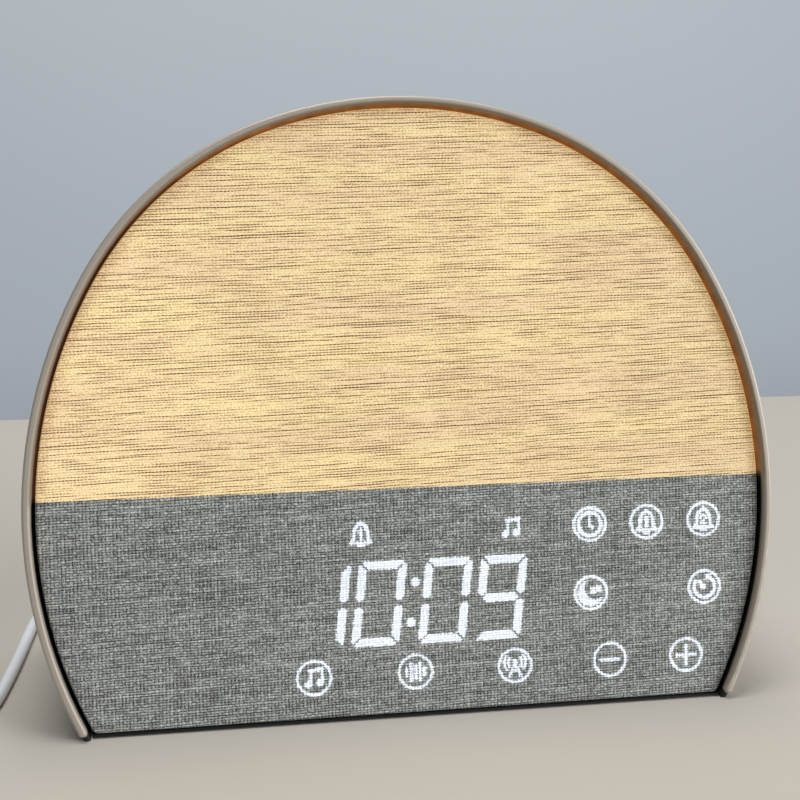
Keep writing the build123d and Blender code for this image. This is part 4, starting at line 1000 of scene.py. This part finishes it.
def closed_stack(g, stations):
    """Closed solid of revolution through stations of (radius, height)."""
    rings = [
        ring(g, low, high, start, g.minus(end, start))
        for (low, start), (high, end) in zip(stations, stations[1:])
    ]
    return g.add("GeometryNodeMergeByDistance", in_geometry=joined(g, rings), in_distance=1e-6)


def on_every_point(g, points, piece, rotation, material):
    """Instances a piece on points, makes it real and gives it its material."""
    placed = g.add(
        "GeometryNodeInstanceOnPoints", in_points=points, in_instance=piece, in_rotation=rotation)
    real = g.add("GeometryNodeRealizeInstances", in_geometry=placed)
    return g.add("GeometryNodeSetMaterial", in_geometry=real, in_material=material)


screw_tree, g, screw_in, screw_out = geometry_tree("pan head screws", [
    ("Head radius", FLOAT, 0.0027), ("Head height", FLOAT, 0.002), ("Shank radius", FLOAT, 0.0011),
    ("Length", FLOAT, 0.01), ("Turn", FLOAT, 0.0),
])
head_r, head_h = screw_in["Head radius"], screw_in["Head height"]
shank_r, below = screw_in["Shank radius"], g.times(screw_in["Length"], -1.0)
# shares of the head's radius and height, from its wall over the rounded edge to the top
DOME = ((1.0, 0.45), (0.93, 0.74), (0.76, 0.93), (0.5, 1.0))
solid = closed_stack(g, [
    (0.0, below), (g.times(shank_r, 0.45), g.plus(below, g.times(shank_r, 0.15))),
    (shank_r, g.plus(below, shank_r)), (shank_r, 0.0), (head_r, 0.0),
    *[(g.times(head_r, wide), g.times(head_h, high)) for wide, high in DOME],
    (0.0, head_h),
])
arm, bar, deep = g.times(head_r, 1.25), g.times(head_r, 0.27), g.times(head_h, 1.1)
cut = g.tree.nodes.new("GeometryNodeMeshBoolean")
cut.operation, cut.solver = "DIFFERENCE", "EXACT"
g.tree.links.new(solid, cut.inputs["Mesh 1"])
for size in (g.join(arm, bar, deep), g.join(bar, arm, deep)):
    cutter = raised(g, g.add("GeometryNodeMeshCube", in_size=size), head_h)
    g.tree.links.new(cutter, cut.inputs["Mesh 2"])
g.feed(screw_out["Geometry"], on_every_point(
    g, screw_in["Geometry"], cut.outputs["Mesh"], g.join(screw_in["Turn"], 0.0, 0.0),
    finishes["screw_steel"]))


# %% [markdown]
# Using a tree. The input mesh holds only the seats' points. Each named input is set on the
# modifier by its socket's identifier, and the evaluated result is kept as a plain mesh.

# %% Screws on their seats
def from_tree(name, tree, points, values):
    """Runs a tree on a cloud of points and returns the result as one finished piece."""
    seed = bpy.data.meshes.new(name + "_points")
    seed.from_pydata(points, [], [])
    holder = new_object(name + "_points", seed)
    modifier = holder.modifiers.new("tree", "NODES")
    modifier.node_group = tree
    for item in tree.interface.items_tree:
        if item.in_out == "INPUT" and item.name in values:
            modifier[item.identifier] = values[item.name]
    evaluated = holder.evaluated_get(bpy.context.evaluated_depsgraph_get())
    mesh = bpy.data.meshes.new_from_object(evaluated)
    mesh.name = name
    bpy.data.objects.remove(holder)
    print(name, "has", len(mesh.polygons), "faces")
    return new_object(name, mesh)


REAR_SURFACE, BASE_SEAT = 34.8, 1.45
SCREW_INSET, WELL_DEPTH = 6.0, 6.0


def case_screw_seat(turn):
    """Seat of a rear screw: a set distance inside the outline, at the bottom of its well."""
    x, z = arch_point(turn, -SCREW_INSET)
    depth = (REAR_SURFACE - FACE_Y - z * math.sin(LEAN)) / math.cos(LEAN)
    return on_face(x, depth - WELL_DEPTH, z)


BACKWARDS, DOWNWARDS = math.radians(-90), math.radians(180)
CASE_SEATS = [case_screw_seat(turn) for turn in (-100, -62, -24, 24, 62, 100)]
BASE_SEATS = [Vector((x, 26.0, BASE_SEAT)) * MM for x in (-62, 62)]
DOOR_SEATS = [Vector((40.0, 33.75, 19.45)) * MM]
# seats, head radius and height, shank radius and length in millimetres, and turn
SCREW_SETS = {
    "case_screws": (CASE_SEATS, 2.7, 2.0, 1.1, 10.0, BACKWARDS - LEAN),
    "base_screws": (BASE_SEATS, 2.4, 0.8, 1.05, 6.0, DOWNWARDS),
    "battery_door_screw": (DOOR_SEATS, 1.75, 1.0, 0.8, 4.0, BACKWARDS),
}
for name, (seats, *sizes, turn) in SCREW_SETS.items():
    labels = ("Head radius", "Head height", "Shank radius", "Length")
    values = {label: size * MM for label, size in zip(labels, sizes)}
    screws = from_tree("turned_" + name, screw_tree, seats, {**values, "Turn": turn})
    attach(screws, "case")
    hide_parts(name)


# %% [markdown]
# The strain relief. A moulded sleeve of soft plastic that lets the lead bend gently where it
# leaves its plug: a slim core with a row of rounded ribs that get smaller towards the lead.
# The same helpers build it, one rib on each point of a line, scaled by its place on the line.

# %% Strain relief
relief_tree, g, relief_in, relief_out = geometry_tree("ribbed sleeve", [
    ("Start radius", FLOAT, 0.0036), ("End radius", FLOAT, 0.0023), ("Core radius", FLOAT, 0.0021),
    ("Length", FLOAT, 0.014), ("Rib width", FLOAT, 0.0018), ("Ribs", "NodeSocketInt", 5),
])
width, count, length = relief_in["Rib width"], relief_in["Ribs"], relief_in["Length"]
line = g.tree.nodes.new("GeometryNodeMeshLine")
steps = g.minus(count, 1.0)
g.feed(line.inputs["Count"], count)
g.feed(line.inputs["Offset"], g.join(0.0, 0.0, g.math("DIVIDE", g.minus(length, width), steps)))
# shares of the rib's radius and width, over its rounded edge
EDGE = ((0.96, 0.1), (1.0, 0.3), (1.0, 0.7), (0.96, 0.9))
rib = closed_stack(g, [
    (0.0, 0.0), (0.86, 0.0), *[(wide, g.times(width, high)) for wide, high in EDGE],
    (0.86, width), (0.0, width),
])
along = g.math("DIVIDE", g.add("GeometryNodeInputIndex"), steps)
shrink = g.minus(relief_in["End radius"], relief_in["Start radius"])
size = g.affine(along, shrink, relief_in["Start radius"])
ribs = g.add(
    "GeometryNodeInstanceOnPoints", in_points=line.outputs[0], in_instance=rib,
    in_scale=g.join(size, size, 1.0))
core_r = relief_in["Core radius"]
core = closed_stack(g, [(0.0, 0.0), (core_r, 0.0), (core_r, length), (0.0, length)])
g.feed(relief_out["Geometry"], on_every_point(
    g, relief_in["Geometry"], joined(g, [ribs, core]), (BACKWARDS, 0.0, 0.0),
    finishes["cord_plastic"]))

RELIEF_START = 47.0
relief = from_tree("ribbed_relief", relief_tree, [Vector((JACK_X, RELIEF_START, JACK_Z)) * MM], {
    "Start radius": 3.6 * MM, "End radius": 2.35 * MM, "Core radius": 2.1 * MM,
    "Length": (CORD_START - RELIEF_START) * MM, "Rib width": 1.8 * MM, "Ribs": 5,
})
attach(relief, "case")
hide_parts("cord_relief")


# %% [markdown]
# Every remaining node of the frame keeps its shape and takes the finish of its own slot.

# %% Dress the frame
slot_of = {item["node"]: item["material_slot"] for item in frame["record"]["subparts"]}
dressed = 0
for name, node in frame["nodes"].items():
    for place_for in node.material_slots:
        place_for.material = finishes[slot_of[name]]
        dressed += 1
print("nodes dressed:", dressed)
lead.data.materials.append(finishes["cord_plastic"])


# %% [markdown]
# The room: a pale table top that ends behind the clock, a pale wall well behind it, a soft light
# overhead, a large window to the right and an even sky. None of it is part of the clock.

# %% Floor, light and sky
def stage_sheet(name, edges, material):
    """A flat sheet between two edges, each given by its y and z."""
    mesh = bpy.data.meshes.new(name)
    points = [(x, y, z) for y, z in edges for x in (-SHEET_HALF, SHEET_HALF)]
    mesh.from_pydata(points, [], [(0, 1, 3, 2)])
    mesh.materials.append(material)
    sheet = new_object(name, mesh)


def mottled(name, scale, one, two, constants):
    """A plain material whose tone changes softly between two colours."""
    material, g, shader = new_material(name, constants)
    g.paint(shader, g.mix(g.noise(g.spot(), scale), one, two))
    return material


SHEET_HALF, FLOOR_START, FLOOR_END = 3, -3, 0.37
WALL_Y, WALL_LOW, WALL_HIGH = 1.1, -1, 3
pale_floor = mottled(
    "pale floor", 3.0, rgb(0.5, 0.465, 0.41), rgb(0.53, 0.495, 0.44),
    [("Roughness", 0.9), ("Specular IOR Level", 0.15)])
pale_wall = mottled(
    "pale wall", 2.0, rgb(0.53, 0.575, 0.615), rgb(0.56, 0.605, 0.645),
    [("Roughness", 0.8)])
stage_sheet("floor", [(FLOOR_START, 0), (FLOOR_END, 0)], pale_floor)
stage_sheet("wall", [(WALL_Y, WALL_LOW), (WALL_Y, WALL_HIGH)], pale_wall)


def soft_light(name, place, target, size, watts, tint, spread=180):
    """A rectangular light; a spread under 180 degrees keeps it off the floor below it."""
    data = bpy.data.lights.new(name, "AREA")
    data.spread = math.radians(spread)
    data.shape, data.size, data.size_y = "RECTANGLE", size[0], size[1]
    data.energy, data.color = watts, tint
    light = new_object(name, data)
    light.location = place
    light.rotation_euler = (Vector(target) - Vector(place)).to_track_quat("-Z", "Y").to_euler()


soft_light(
    "ceiling", place=(-0.1, 0.08, 1.4), target=(0, 0, 0), size=(1.1, 0.6), watts=14,
    tint=(1.0, 0.98, 0.95))
soft_light(
    "window", place=(2.2, -1.25, 0.75), target=(0, 0, 0.08), size=(1.5, 1.2), watts=20.6,
    tint=(0.95, 0.97, 1.0), spread=100)
world = bpy.data.worlds.new("even sky")
world.use_nodes = True
sky = world.node_tree.nodes["Background"].inputs
sky["Color"].default_value, sky["Strength"].default_value = rgb(0.78, 0.84, 0.92), 0.25
bpy.context.scene.world = world
bpy.context.scene.view_settings.view_transform = "Standard"
print("stage and lights are set")
